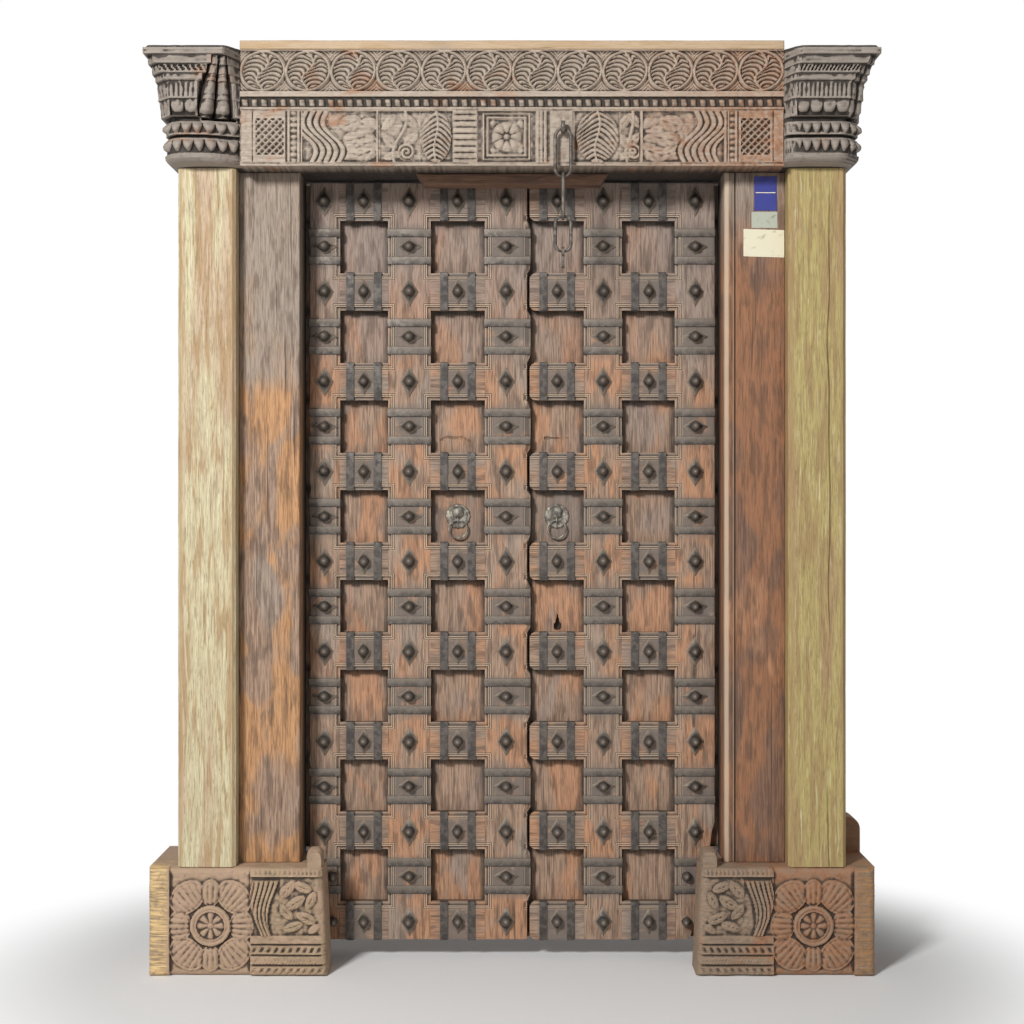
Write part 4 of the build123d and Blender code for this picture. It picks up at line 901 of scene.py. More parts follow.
class GATE_OT_capitals(Operator):
    """Capitals: stepped tiers with a lobed inner splay over two rows of lotus petals and a plain bowl"""

    bl_idname = "gate.capitals"
    bl_label = "Capitals"

    petal: length("Petal", "How far the petals stand out", 15 * MM)
    lobe: length("Lobe", "Depth of the grooves between the lobes of the splay", 34 * MM)

    # An outline's sides in order: outer side, outer corner, front, splay, return and inner side. For the left and
    # the right capital, the points and the petals along each of them.
    corner_side, front_side, splay_side = 1, 2, 3
    steps = {-1: (4, 16, 34, 44, 6, 3), 1: (4, 20, 74, 6, 6, 3)}
    petals = {-1: (0, 1, 3, 3, 0, 0), 1: (0, 2, 6, 0, 0, 0)}
    # Levels above the bottom, in metres: the rows of petals, and the tiers of lobes, blocks, flutes and notches.
    petal_rows = ((0.028, 0.064), (0.072, 0.104))
    lobed, blocked, fluted, notched = (0.108, 0.257), (0.116, 0.156), (0.160, 0.194), (0.220, 0.233)
    # Level, then half width and face of the outer side, outer front corner, face, inner front corner,
    # and the inner end of the splay, in millimetres from the bottom and from the gate's middle line.
    courses = (
        (0, 818, -52, 796, -82, 704, 684, -66), (3, 832, -68, 808, -110, 712, 678, -80),
        (7, 841, -77, 816, -125, 719, 675, -88), (12, 847, -83, 821, -135, 725, 672, -94),
        (18, 851, -86, 825, -141, 730, 671, -98), (27, 852, -88, 826, -143, 733, 671, -100),
        (28, 846, -92, 826, -142, 742, 670, -104),
        (63, 846, -94, 828, -144, 746, 669, -106), (65, 838, -84, 820, -130, 746, 674, -100),
        (71, 838, -84, 820, -130, 746, 674, -100), (72, 848, -98, 830, -146, 748, 668, -110),
        (103, 846, -98, 828, -144, 750, 669, -110), (105, 842, -90, 822, -132, 752, 674, -104),
        (114, 842, -90, 822, -132, 754, 674, -104), (116, 858, -110, 828, -152, 762, 678, -124),
        (156, 860, -113, 828, -154, 761, 678, -126), (157, 863, -117, 829, -160, 760, 678, -129),
        (197, 865, -120, 830, -162, 758, 679, -131), (201, 869, -128, 838, -169, 746, 680, -142),
        (214, 870, -130, 839, -170, 745, 681, -144), (216, 874, -141, 848, -176, 733, 683, -154),
        (235, 875, -143, 849, -177, 732, 684, -156), (237, 880, -156, 862, -183, 720, 686, -167),
        (256, 881, -158, 863, -184, 719, 687, -168), (258, 887, -184, 884, -189, 697, 691, -186),
        (272, 888, -186, 885, -190, 696, 691, -187), (275, 884, -172, 880, -176, 698, 691, -172),
        (283, 882, -160, 878, -164, 699, 691, -160),
    )

    def execute(self, context):
        for side, name in SIDES:
            add_piece(f"{name}_capital_carving", [self.capital(f"capital_{name}", side)],
                      "capital_carving", "frame", [f"capital_{name}"], 45)
        return {"FINISHED"}

    def capital(self, node, side):
        """A skin of level outlines: each side of an outline is divided evenly, rounded off below the tiers, and moved
        along its own normal by petals, lobes and notches, functions of the place along the side and of the level."""
        table = np.array(self.courses) * MM
        level = lines(table[:, 0], spread(0, table[-1, 0], 0.0027))
        at = [np.interp(level, table[:, 0], table[:, column]) for column in range(1, 8)]
        outer, outer_y, front_x, front_y, inner_x, splay_x, splay_y = at
        if side > 0:
            front_x = front_x - 0.010 * smooth((0.258 - level) / 0.04)
            inner_x, splay_y = splay_x + 0.012, front_y + 0.008
        back = np.full(level.shape, high(node, Y))
        inner = np.full(level.shape, min(abs(low(node, X)), abs(high(node, X))))
        meet_y = np.maximum(splay_y + 0.004, low("head_beam", Y) + 0.004)
        places = ((outer, back), (outer, outer_y), (front_x, front_y), (inner_x, front_y), (splay_x, splay_y),
                  (inner, meet_y), (inner, back))
        corners = np.stack([np.stack([-x, y], axis=-1) for x, y in places], axis=1)
        plan, normal, moved = [], [], []
        counts = self.steps[side]
        for number, steps in enumerate(counts):
            share = np.linspace(0, 1, steps, endpoint=number == len(counts) - 1)
            start, stop = corners[:, number], corners[:, number + 1]
            if number == self.splay_side and side < 0:
                start, stop = (self.straightened(corner, level) for corner in (start, stop))
            run = (stop - start)[:, None]
            plan.append(start[:, None] + share[None, :, None] * run)
            across = np.stack([run[..., 1], -run[..., 0]], axis=-1) / np.linalg.norm(run, axis=-1, keepdims=True)
            normal.append(np.broadcast_to(across, plan[-1].shape))
            moved.append(self.carving(number, share[None], level[:, None], side))
        plan, normal, moved = (np.concatenate(group, axis=1) for group in (plan, normal, moved))
        seen = slice(counts[0], sum(counts[:4]))
        bowed = smooth((0.114 - level) / 0.006)[:, None, None]
        for group in (plan, normal):
            group[:, seen] += bowed * (rounded(group[:, seen], 13) - group[:, seen])
        plan = plan + moved[..., None] * normal
        plan[..., 0] = np.clip(plan[..., 0], -outer.max(), -inner[:, None])
        plan[..., 1] = np.clip(plan[..., 1], low(node, Y), high(node, Y))
        heights = front_y[:, None] - moved
        # Tone: painted shade in hollows and in the grooves between the lobes, a painted highlight on ridges, darker
        # towards the bottom, and painted shade on the splay that faces away from the light.
        tone = 1.6 * cavity(heights, 3) + 0.8 * np.minimum(cavity(heights, 9), 0)
        tone = tone - 1.6 * np.clip(-moved / self.lobe, 0, 1)
        tone = tone - 0.4 * smooth((0.020 - level[:, None]) / 0.02)
        splay = slice(seen.stop, None) if side < 0 else slice(counts[0], sum(counts[:2]))
        tone[:, splay] -= 0.5 * smooth((0.262 - level[:, None]) / 0.02)
        z = np.broadcast_to(low(node, Z) + level[:, None], tone.shape)
        rings = np.stack([plan[..., 0] * -side, plan[..., 1], z], axis=-1)
        points, faces, marks = lofted(rings if side < 0 else rings[:, ::-1])
        marks[:, 0] = (tone if side < 0 else tone[:, ::-1]).reshape(-1)
        return points, faces, marks

    def straightened(self, corner, level):
        """A corner's places with its steps between the foot and the head of the splay drawn out to a straight line."""
        ends = np.array([0.117, 0.256])
        straight = [np.interp(level, ends, np.interp(ends, level, corner[:, axis])) for axis in (0, 1)]
        return np.where(lies_in(level, ends)[:, None], np.stack(straight, axis=-1), corner)

    def carving(self, number, share, level, side):
        """How far the skin is moved out at a share of a side and a level."""
        moved = np.zeros(np.broadcast_shapes(share.shape, level.shape))
        petals = self.petals[side][number]
        repeat = 1 if side < 0 else 2
        for start, stop in self.petal_rows:
            up = (level - start) / (stop - start)
            arch = np.abs(np.sin(math.pi * share * petals)) ** 0.6
            if side > 0 and number != self.corner_side:
                arch = arch * smooth((0.95 - share) / 0.1)
            tip = smooth((up - 0.7 * (1 - arch)) / 0.3) * smooth((1.04 - up) / 0.5)
            moved = np.where(lies_in(up, (0, 1)) & (petals > 0), self.petal * (0.3 + 0.7 * arch) * tip, moved)
        splayed = (number == (self.splay_side if side < 0 else self.corner_side)) & lies_in(level, self.lobed)
        groove = 1 - np.abs(np.sin(2 * math.pi * share)) ** 0.5
        foot = smooth((level - self.blocked[0]) / 0.014 - 0.6 * groove)
        fade = smooth((self.lobed[1] - level) / 0.05)
        rolls = ridge(level - 0.168, 0.002) + ridge(level - 0.208, 0.002)
        sunk = groove * (0.35 + 0.65 * fade) + 0.5 * (1 - foot) + 0.05 * rolls
        moved = np.where(splayed, -self.lobe / repeat * sunk, moved)
        front = number == self.front_side
        notch = (np.cos(2 * math.pi * (share * 8 * repeat + level / 0.02)) > 0.35) & front
        moved = np.where(notch & lies_in(level, self.notched), -0.006, moved)
        block = np.abs(np.sin(2 * math.pi * share * repeat)) ** 0.4
        hung = -0.012 * (1 - smooth((level - self.blocked[0]) / 0.018 - 1 + block)) - 0.004 * (1 - block)
        moved = np.where(front & lies_in(level, self.blocked), hung, moved)
        flutes = -0.003 * (0.5 + 0.5 * np.cos(12 * math.pi * share * repeat)) ** 3
        moved = np.where(front & lies_in(level, self.fluted), flutes, moved)
        rough = 0.0016 * noise(share * 0.12, level * np.ones_like(share), 0.011, 70 + number)
        return moved + rough * smooth((level - 0.020) / 0.01)


def rounded(rows, reach):
    """Each point moved to the mean of its neighbours along its row, so that corners round off and ends stay."""
    padded = np.pad(rows, ((0, 0), (reach, reach), (0, 0)), mode="reflect", reflect_type="odd")
    total = np.cumsum(np.pad(padded, ((0, 0), (1, 0), (0, 0))), axis=1)
    return (total[:, 2 * reach + 1:] - total[:, :-2 * reach - 1]) / (2 * reach + 1)


class GATE_OT_beams(Operator):
    """Head beam, cornice with its bead course and leaf frieze, cap board, stop block and pivot rail"""

    bl_idname = "gate.beams"
    bl_label = "Beams"

    relief: length("Relief", "Depth of the carving", 10 * MM)
    bead_band: length("Bead band", "Height of the bead course", 26 * MM)
    fillet: length("Fillet", "Height of the plain fillet", 12 * MM)
    oval_count: IntProperty(name="Ovals", description="Ovals in the frieze", default=12, min=2)
    bead_count: IntProperty(name="Beads", description="Beads in the bead course", default=57, min=2)

    def execute(self, context):
        grid = context.scene.gate_sizes.carving_grid
        arris = context.scene.gate_sizes.arris
        add_piece("carved_cornice", [self.cornice(grid)], "old_carving", "frame", ["cornice_beam"], 50)
        add_piece("carved_head", [self.head(grid)], "old_carving", "frame", ["head_beam"], 50)
        add_piece("raw_cap", [self.board("cap_board", arris)], "pale_board", "frame", ["cap_board"])
        add_piece("stop_block", [self.stop(arris)], "stop_teak", "frame", ["door_stop_block"])
        for node in ("pivot_rail", "left_ledges", "right_ledges"):
            dress(node, "leaf_cross")
        return {"FINISHED"}

    def cornice(self, grid):
        """Height over length and level: rounded beads in a course, a plain fillet, and a frieze of ovals."""
        node = "cornice_beam"
        x_span, z_span = span(node, X), span(node, Z)
        x, z = np.meshgrid(spread(*x_span, grid), spread(*z_span, grid * 0.8))
        up = z - z_span[0]
        total = z_span[1] - z_span[0]
        wide = x_span[1] - x_span[0]
        pitch = wide / self.bead_count
        along_bead = (x - x_span[0]) / pitch % 1 - 0.5 + 0.12 * (up / self.bead_band - 0.5)
        bead = np.clip(1 - (along_bead / 0.40) ** 2, 0, 1) ** 0.5
        bead = bead * np.clip(1 - ((up / self.bead_band - 0.42) / 0.44) ** 2, 0, 1) ** 0.5
        raised = self.relief * 0.8 * bead
        frieze_low = self.bead_band + self.fillet
        raised = np.where(up > self.bead_band, self.relief * 0.93, raised)
        level = (up - frieze_low) / (total - frieze_low) * 2 - 1
        raised = np.where(up > frieze_low, self.leaf_frieze(x - x_span[0], level, wide, total - frieze_low), raised)
        raised = raised + 0.0007 * noise(x, z, 0.007, 21) + 0.0006 * noise(x, z, 0.03, 22)
        front = low(node, Y)
        face = np.clip(front + self.relief - raised, front, front + self.relief)
        # Tone: painted shade in the carving's hollows and a painted highlight on its ridges; the bead course is painted
        # as in shadow under the fillet, the frieze a little lighter.
        tone = 0.85 * cavity(face, 4) + np.where(up < self.bead_band, -0.75, 0.22)
        return relief_block(x, face, z, high(node, Y), tone)

    def leaf_frieze(self, x, level, wide, tall):
        """Linked ovals in a row, each a ring by distance from a leaning ellipse, parted by a bent rib; arched ribs fill
        both halves, and small leaves fill the corners."""
        pitch = wide / self.oval_count
        number = np.floor(x / pitch)
        across = (x / pitch - number) * 2 - 1
        reach = np.hypot((across - 0.06 * level) / 1.0, level / 0.97)
        rim = ridge((reach - 0.95) * tall / 2, 0.0042)
        edge = np.sqrt(np.clip(1 - level * level, 0.02, 1))
        parting = 0.20 * np.sin(1.4 * math.pi * level) + 0.16 * level
        half = np.where(across > parting, (across - parting) / (edge - parting), (across + edge) / (parting + edge))
        arch = (level + 0.32 * (2 * np.clip(half, 0, 1) - 1) ** 2) * tall / 2
        ribs = np.where(reach < 0.86, 0.10 + 0.62 * ridge(arch / 0.0105 % 1 - 0.5, 0.36), 0)
        ribs = np.maximum(ribs, 0.95 * ridge((across - parting) * pitch / 2, 0.0044) * (reach < 0.95))
        corner = 0.4 * ridge((reach - 1.2) * tall / 2 % 0.006 - 0.003, 0.0026) * (reach > 1.02)
        border = np.where(np.abs(level) > 0.965, 0.95, 0)
        return self.relief * np.maximum.reduce([ribs, rim, corner, border])

    def head(self, grid):
        """Height over length and level: panels in a row, each a pattern of its own on a common ground."""
        node = "head_beam"
        x_span, z_span = span(node, X), span(node, Z)
        x, z = np.meshgrid(spread(*x_span, grid), spread(*z_span, grid))
        v = (z - z_span[0]) / (z_span[1] - z_span[0]) * 2 - 1
        tall = z_span[1] - z_span[0]
        raised = np.full_like(x, 0.35)
        panels = (
            (-0.664, -0.632, self.plain), (-0.632, -0.552, self.lattice), (-0.548, -0.518, self.beaded),
            (-0.516, -0.326, self.scrolls), (-0.322, -0.226, self.curls), (-0.224, -0.146, self.palmette),
            (-0.144, -0.084, self.courses), (-0.082, 0.056, self.flower), (0.058, 0.086, self.fluted),
            (0.088, 0.152, self.plain), (0.156, 0.262, self.palmette), (0.264, 0.312, self.curls),
            (0.314, 0.524, self.scrolls_back), (0.526, 0.550, self.beaded), (0.552, 0.636, self.lattice),
            (0.636, 0.664, self.plain),
        )
        for start, stop, pattern in panels:
            inside = (x >= start) & (x <= stop)
            u = (x - start) / (stop - start) * 2 - 1
            raised = np.where(inside, pattern(u, v, (stop - start) / 2, tall / 2), raised)
        rail = np.abs(v) > 0.86
        raised = np.where(rail, 0.88 - 0.25 * (np.abs(np.abs(v) - 0.9) < 0.02), raised)
        raised = 0.45 + (raised - 0.45) * (0.82 + 0.3 * noise(x, z, 0.035, 25))
        raised = raised + 0.09 * noise(x, z, 0.006, 23) + 0.07 * noise(x, z, 0.02, 24)
        front = low(node, Y)
        face = front + self.relief * (1 - np.clip(raised, 0, 1))
        # Tone: painted shade in the carving's hollows and a painted highlight on its ridges, and painted shade on the
        # sides.
        return relief_block(x, face, z, high(node, Y), 0.85 * cavity(face, 4), 0.0, SIDE_SHADE)

    def plain(self, u, v, half, tall):
        """A flat face with a lowered edge."""
        return np.where((np.abs(u) < 0.86), 0.92, 0.55)

    def lattice(self, u, v, half, tall):
        """A sunk square crossed by diagonal bars both ways: the higher of two sets of rounded ridges."""
        p, q = u * half, v * tall
        first = (p - q) / 0.0175 % 1 - 0.5
        second = (p + q) / 0.0175 % 1 - 0.5
        bars = 0.10 + 0.75 * np.maximum(ridge(first, 0.30), 0.75 * ridge(second, 0.2))
        inside = (np.abs(u) < 0.84) & (np.abs(v) < 0.62)
        return np.where(inside, bars, 0.85)

    def beaded(self, u, v, half, tall):
        """An upright strip of small beads between two plain edges."""
        beads = np.cos(2 * math.pi * v * tall / 0.0145)
        return np.where(np.abs(u) < 0.55, 0.35 + 0.5 * ridge(u, 0.6) * (0.5 + 0.5 * beads), 0.85)

    def scrolls(self, u, v, half, tall):
        """Bands that stream down in bends on one half and a spray of leaves on the other."""
        p, q = u * half, v * tall
        bands = 0.25 + 0.6 * streams(p + 0.3 * q, q, 0.0165, 0.115, 0.015)
        edge = p + 0.3 * q + 0.015 * np.sin(2 * math.pi * q / 0.115)
        spray = 0.2 + 0.75 * leaves(p / half, q / tall, (
            (0.30, 0.45, 0.30, 0.30, 0.5), (0.70, 0.35, 0.26, 0.34, -0.6), (0.42, -0.08, 0.34, 0.30, 0.3),
            (0.80, -0.20, 0.20, 0.36, 0.3), (0.28, -0.55, 0.30, 0.28, -0.4), (0.64, -0.58, 0.34, 0.28, 0.5),
        ))
        frame_edge = np.where((np.abs(u) > 0.94), 0.85, 0)
        return np.maximum(np.where((edge < -0.06 * half) & (edge > -0.98 * half), bands, spray), frame_edge)

    def scrolls_back(self, u, v, half, tall):
        """The streaming panel the other way round."""
        return self.scrolls(-u, v, half, tall)

    def curls(self, u, v, half, tall):
        """A twining spray: leaves to both sides of a bent stem, and a spiral roll by distance less a share of
        the angle."""
        p, q = u * half, v * tall
        stem = ridge(p - 0.35 * half * np.sin(2.6 * v), 0.005)
        spray = leaves(p, q, (
            (-0.55 * half, 0.036, 0.024, 0.012, 0.9), (0.45 * half, 0.040, 0.026, 0.012, -0.7),
            (0.55 * half, -0.006, 0.022, 0.012, 0.7), (-0.50 * half, -0.012, 0.024, 0.012, -0.8),
            (-0.35 * half, -0.046, 0.024, 0.011, 0.3),
        ))
        away, angle = np.hypot(p - 0.35 * half, q + 0.038), np.arctan2(q + 0.038, p - 0.35 * half)
        spiral = ridge((away / 0.0105 - angle / (2 * math.pi)) % 1 - 0.5, 0.42) * (away < 0.022)
        return 0.18 + 0.72 * np.maximum.reduce([stem, spray, spiral])

    def palmette(self, u, v, half, tall):
        """An upright fern on a bent midrib."""
        return 0.14 + fern(u * half, v * tall, half * 0.97, tall * 0.88, 0.12 * half, 0.0125)

    def courses(self, u, v, half, tall):
        """Level rolls, one over another."""
        return 0.3 + 0.6 * np.abs(np.cos(math.pi * v * tall / 0.0155)) ** 0.6

    def flower(self, u, v, half, tall):
        """An eight-petalled flower in a double square frame."""
        p, q = u * half, v * tall
        reach, angle = np.hypot(p, q), np.arctan2(q, p)
        petals = (0.45 + 0.55 * np.abs(np.cos(4 * angle)) ** 0.7) * ridge(reach - 0.023, 0.017)
        square = np.maximum(np.abs(p), np.abs(q))
        frames = np.maximum(ridge(square - 0.046, 0.004), ridge(square - 0.056, 0.003))
        corners = 0.6 * ridge(np.hypot(np.abs(p) - 0.034, np.abs(q) - 0.034), 0.010)
        return np.maximum.reduce([0.18 + 0 * p, 0.9 * petals, 0.9 * frames, ridge(reach, 0.009), corners])

    def fluted(self, u, v, half, tall):
        """Upright rolls side by side."""
        return 0.35 + 0.55 * np.abs(np.cos(math.pi * u * 1.5)) ** 0.6

    def board(self, node, arris):
        """A sawn board: flat with rounded arrises and slow waves along its front edge."""
        x_span, z_span = span(node, X), span(node, Z)
        x, z = np.meshgrid(edge_lines(*x_span, arris, 0.02), edge_lines(*z_span, arris, 0.004))
        fall = rounding(x, z, x_span, z_span, arris) + 0.002 * (1 + noise(x, z, 0.09, 51))
        return relief_block(x, low(node, Y) + fall, z, high(node, Y))

    def stop(self, arris):
        """A block with splayed ends: each level is drawn in by its share of the splay."""
        node = "door_stop_block"
        x_span, z_span = span(node, X), span(node, Z)
        x, z = np.meshgrid(edge_lines(*x_span, arris, 0.02), edge_lines(*z_span, arris, 0.004))
        fall = rounding(x, z, x_span, z_span, arris) + 0.001 * (1 + noise(x, z, 0.06, 52))
        half = x_span[1]
        drawn = x * (half - 0.018 * (z_span[1] - z) / (z_span[1] - z_span[0])) / half
        return relief_block(drawn, low(node, Y) + fall, z, high(node, Y))


def dress(node, finish):
    """Gives a CAD node's object one of the finishes."""
    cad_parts[node].data.materials.clear()
    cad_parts[node].data.materials.append(bpy.data.materials[finish])


# Leaves


def stile_spans(side):
    """(low X, high X) of a leaf's stiles, the meeting stile without its bulges."""
    spans = [span(node, X) for node in LEAVES[side]]
    if side == "left":
        spans[-1] = (spans[-1][0], LEFT_EDGE)
    return spans


def recess_columns(side):
    """(low X, high X) of a leaf's recesses."""
    spans = stile_spans(side)
    if side == "left":
        return [(a[1], b[0]) for a, b in zip(spans, spans[1:])]
    return [(RIGHT_EDGE, spans[0][0]), (spans[0][1], spans[1][0])]


def recess_boxes(side):
    """(low X, high X, low Z, high Z) of every recess of a leaf, and of the notches beyond the meeting edge."""
    columns = recess_columns(side)
    if side == "left":
        edge = high("left_meeting_stile", X)
        columns = columns + [(edge, edge + 1)]
    return [(a, b, level - RECESS_HALF, level + RECESS_HALF) for a, b in columns for level in RECESS_LEVELS]


def cut_corner(sizes):
    """(level, half width) of a leaf's cut lower corner: below that level, the leaf ends at that half width."""
    return low("jamb_left", Z) + sizes.heel_clearance, low("jamb_right", X) - sizes.corner_notch


def edge_profile(sizes):
    """Places out from a recess edge, depths and tones there: a low step, then two incised lines on the face. The tones
    paint highlights on the step's outer edge, the lip above the step and the lines' lips, and shade in the step's inner
    corner and down in the lines.
    """
    wide, deep = sizes.line_width, sizes.line_depth
    step, low_face = sizes.step_width, sizes.step_depth
    rows = [(0.0, low_face, 0.8), (step * 0.4, low_face, -0.1), (step, low_face, -0.7), (step + 0.7 * MM, 0.0, 0.9)]
    for start in (step + 2.8 * MM, step + 7.4 * MM):
        rows += [(start, 0.0, 0.7), (start + wide / 2, deep, -0.8), (start + wide, 0.0, 0.7)]
    rows.append((rows[-1][0] + 2.0 * MM, 0.0, 0.0))
    return np.array(rows).T


def lattice_depth(x, z, boxes, sizes):
    """Depth below the leaf's face and tone of painted shade and highlight, read off the edge profile by square distance
    from the nearest recess.
    """
    nearest = np.full(x.shape, 1.0)
    for x0, x1, z0, z1 in boxes:
        away = np.maximum.reduce([x0 - x, x - x1, z0 - z, z - z1])
        nearest = np.minimum(nearest, np.maximum(away, 0))
    places, depths, tones = edge_profile(sizes)
    return np.interp(nearest, places, depths), np.interp(nearest, places, tones)


def iron_stain(x, z, side, sizes):
    """Share of black stain: near one between and just beyond a pair of straps, fading over a few millimetres."""
    half = (sizes.strap_spacing + sizes.strap_width) / 2
    beside = np.min([np.abs(z - level) for level in RECESS_LEVELS], axis=0)
    columns = recess_columns(side)
    in_column = np.any([(x > a - HAIR) & (x < b + HAIR) for a, b in columns], axis=0)
    across = np.min([np.abs(x - (a + b) / 2) for a, b in columns], axis=0)
    away = np.where(in_column, across, beside)
    return 0.9 * smooth((half + 0.006 - away) / 0.010)


class GATE_OT_lattice(Operator):
    """Stiles and rails of the leaves, with a low step and incised lines round each recess"""

    bl_idname = "gate.lattice"
    bl_label = "Lattice"

    corner: length("Rail end", "Rounding of the right rails' meeting ends", 14 * MM)

    # A stile's face is drawn to its true side over this width, or over the side's shift and a spare; the side of
    # a hinge stile steps in within the height of the cut line.
    drawn, spare, cut_line = 22 * MM, 4 * MM, 0.5 * MM

    def execute(self, context):
        sizes = context.scene.gate_sizes
        for side, stiles in LEAVES.items():
            boxes = recess_boxes(side)
            for node, edges in zip(stiles, stile_spans(side)):
                add_piece(f"{node}_face", [self.stile(node, edges, boxes, side, sizes)], "leaf_upright",
                          f"{side}_leaf", [node])
            for number, level in enumerate(RAIL_LEVELS, start=1):
                parts = [self.rail(edges, level, boxes, side, sizes) for edges in recess_columns(side)]
                add_piece(f"{side}_rail_{number}_face", parts, "leaf_cross",
                          f"{side}_leaf", [f"{side}_rail_{number}"])
        return {"FINISHED"}

    def stile(self, node, edges, boxes, side, sizes):
        """An upright: the lattice depth over a grid with lines at every break of the edge profile, its sides moved
        to follow the meeting edge's bulges, the cut corner or the broken edge."""
        places = edge_profile(sizes)[0]
        x_lines = lines(edges[0] + places, edges[1] - places, spread(*edges, 0.03))
        breaks = [z + way * places for box in boxes for z, way in ((box[2], -1), (box[3], 1))]
        foot = cut_corner(sizes)[0]
        z_lines = lines(*breaks, spread(LEAF_BOTTOM, LEAF_TOP, 0.02), np.array([foot - self.cut_line, foot]))
        z_lines = z_lines[(z_lines >= LEAF_BOTTOM) & (z_lines <= LEAF_TOP)]
        x, z = np.meshgrid(x_lines, z_lines)
        start, stop = self.sides(node, edges, z, sizes)
        keep = np.maximum(self.drawn, np.maximum(start - edges[0], edges[1] - stop) + self.spare)
        x = np.where(x < edges[0] + keep, start + (x - edges[0]) * (edges[0] + keep - start) / keep, x)
        x = np.where(x > edges[1] - keep, stop - (edges[1] - x) * (stop - edges[1] + keep) / keep, x)
        depth, tone = lattice_depth(x, z, boxes, sizes)
        depth = depth + 0.0008 * (1 + noise(x, z, 0.05, 61)) + 0.0015 * ridge(np.minimum(x - start, stop - x), 0.004)
        return relief_block(x, LATTICE_FRONT + depth, z, LATTICE_BACK, tone, iron_stain(x, z, side, sizes), SIDE_SHADE)

    def sides(self, node, edges, z, sizes):
        """Where a stile's two sides stand at each level."""
        start, stop = np.full(z.shape, edges[0]), np.full(z.shape, edges[1])
        foot, notch = cut_corner(sizes)
        notch = notch + sizes.corner_cover
        if node == "left_hinge_stile":
            start = np.where(z < foot, -notch, start + 0.002 * (1 + noise(z, z * 0, 0.03, 63)))
        if node == "right_hinge_stile":
            top = LEAF_BOTTOM + sizes.broken_rise
            broken = edges[1] - sizes.broken_width * np.clip((top - z) / sizes.broken_rise, 0, 1)
            broken = broken - 0.003 * (1 + noise(z, z * 0, 0.02, 64)) * (z < top)
            stop = np.where(z < foot, np.minimum(broken, notch), broken)
        if node == "left_meeting_stile":
            bulge = high(node, X) - LEFT_EDGE
            away = np.min([np.abs(z - level) for level in RECESS_LEVELS], axis=0)
            stop = stop + bulge * smooth((RECESS_HALF + 0.004 - away) / 0.020)
        return start, stop

    def rail(self, edges, level, boxes, side, sizes):
        """A cross-piece between two stiles; the one at the meeting edge has rounded corners there."""
        places = edge_profile(sizes)[0]
        z_span = (level - RAIL_HALF, level + RAIL_HALF)
        z_lines = lines(z_span[0] + places, z_span[1] - places, spread(*z_span, 0.016))
        meeting = edges[0] == RIGHT_EDGE
        ends = self.corner * (1 - np.cos(np.linspace(0, math.pi / 2, 6))) if meeting else np.zeros(1)
        x_lines = lines(spread(*edges, 0.025), edges[0] + ends)
        x, z = np.meshgrid(x_lines, z_lines)
        if meeting:
            over = np.clip((np.abs(z - level) - RAIL_HALF + self.corner) / self.corner, 0, 1)
            inset = self.corner * (1 - np.sqrt(1 - np.minimum(over, 0.98) ** 2))
            x = x + inset * np.clip(1 - (x - edges[0]) / 0.06, 0, 1)
        depth, tone = lattice_depth(x, z, boxes, sizes)
        depth = depth + 0.0008 * (1 + noise(x, z, 0.05, 65))
        return relief_block(x, LATTICE_FRONT + depth, z, LATTICE_BACK, tone, iron_stain(x, z, side, sizes), SIDE_SHADE)


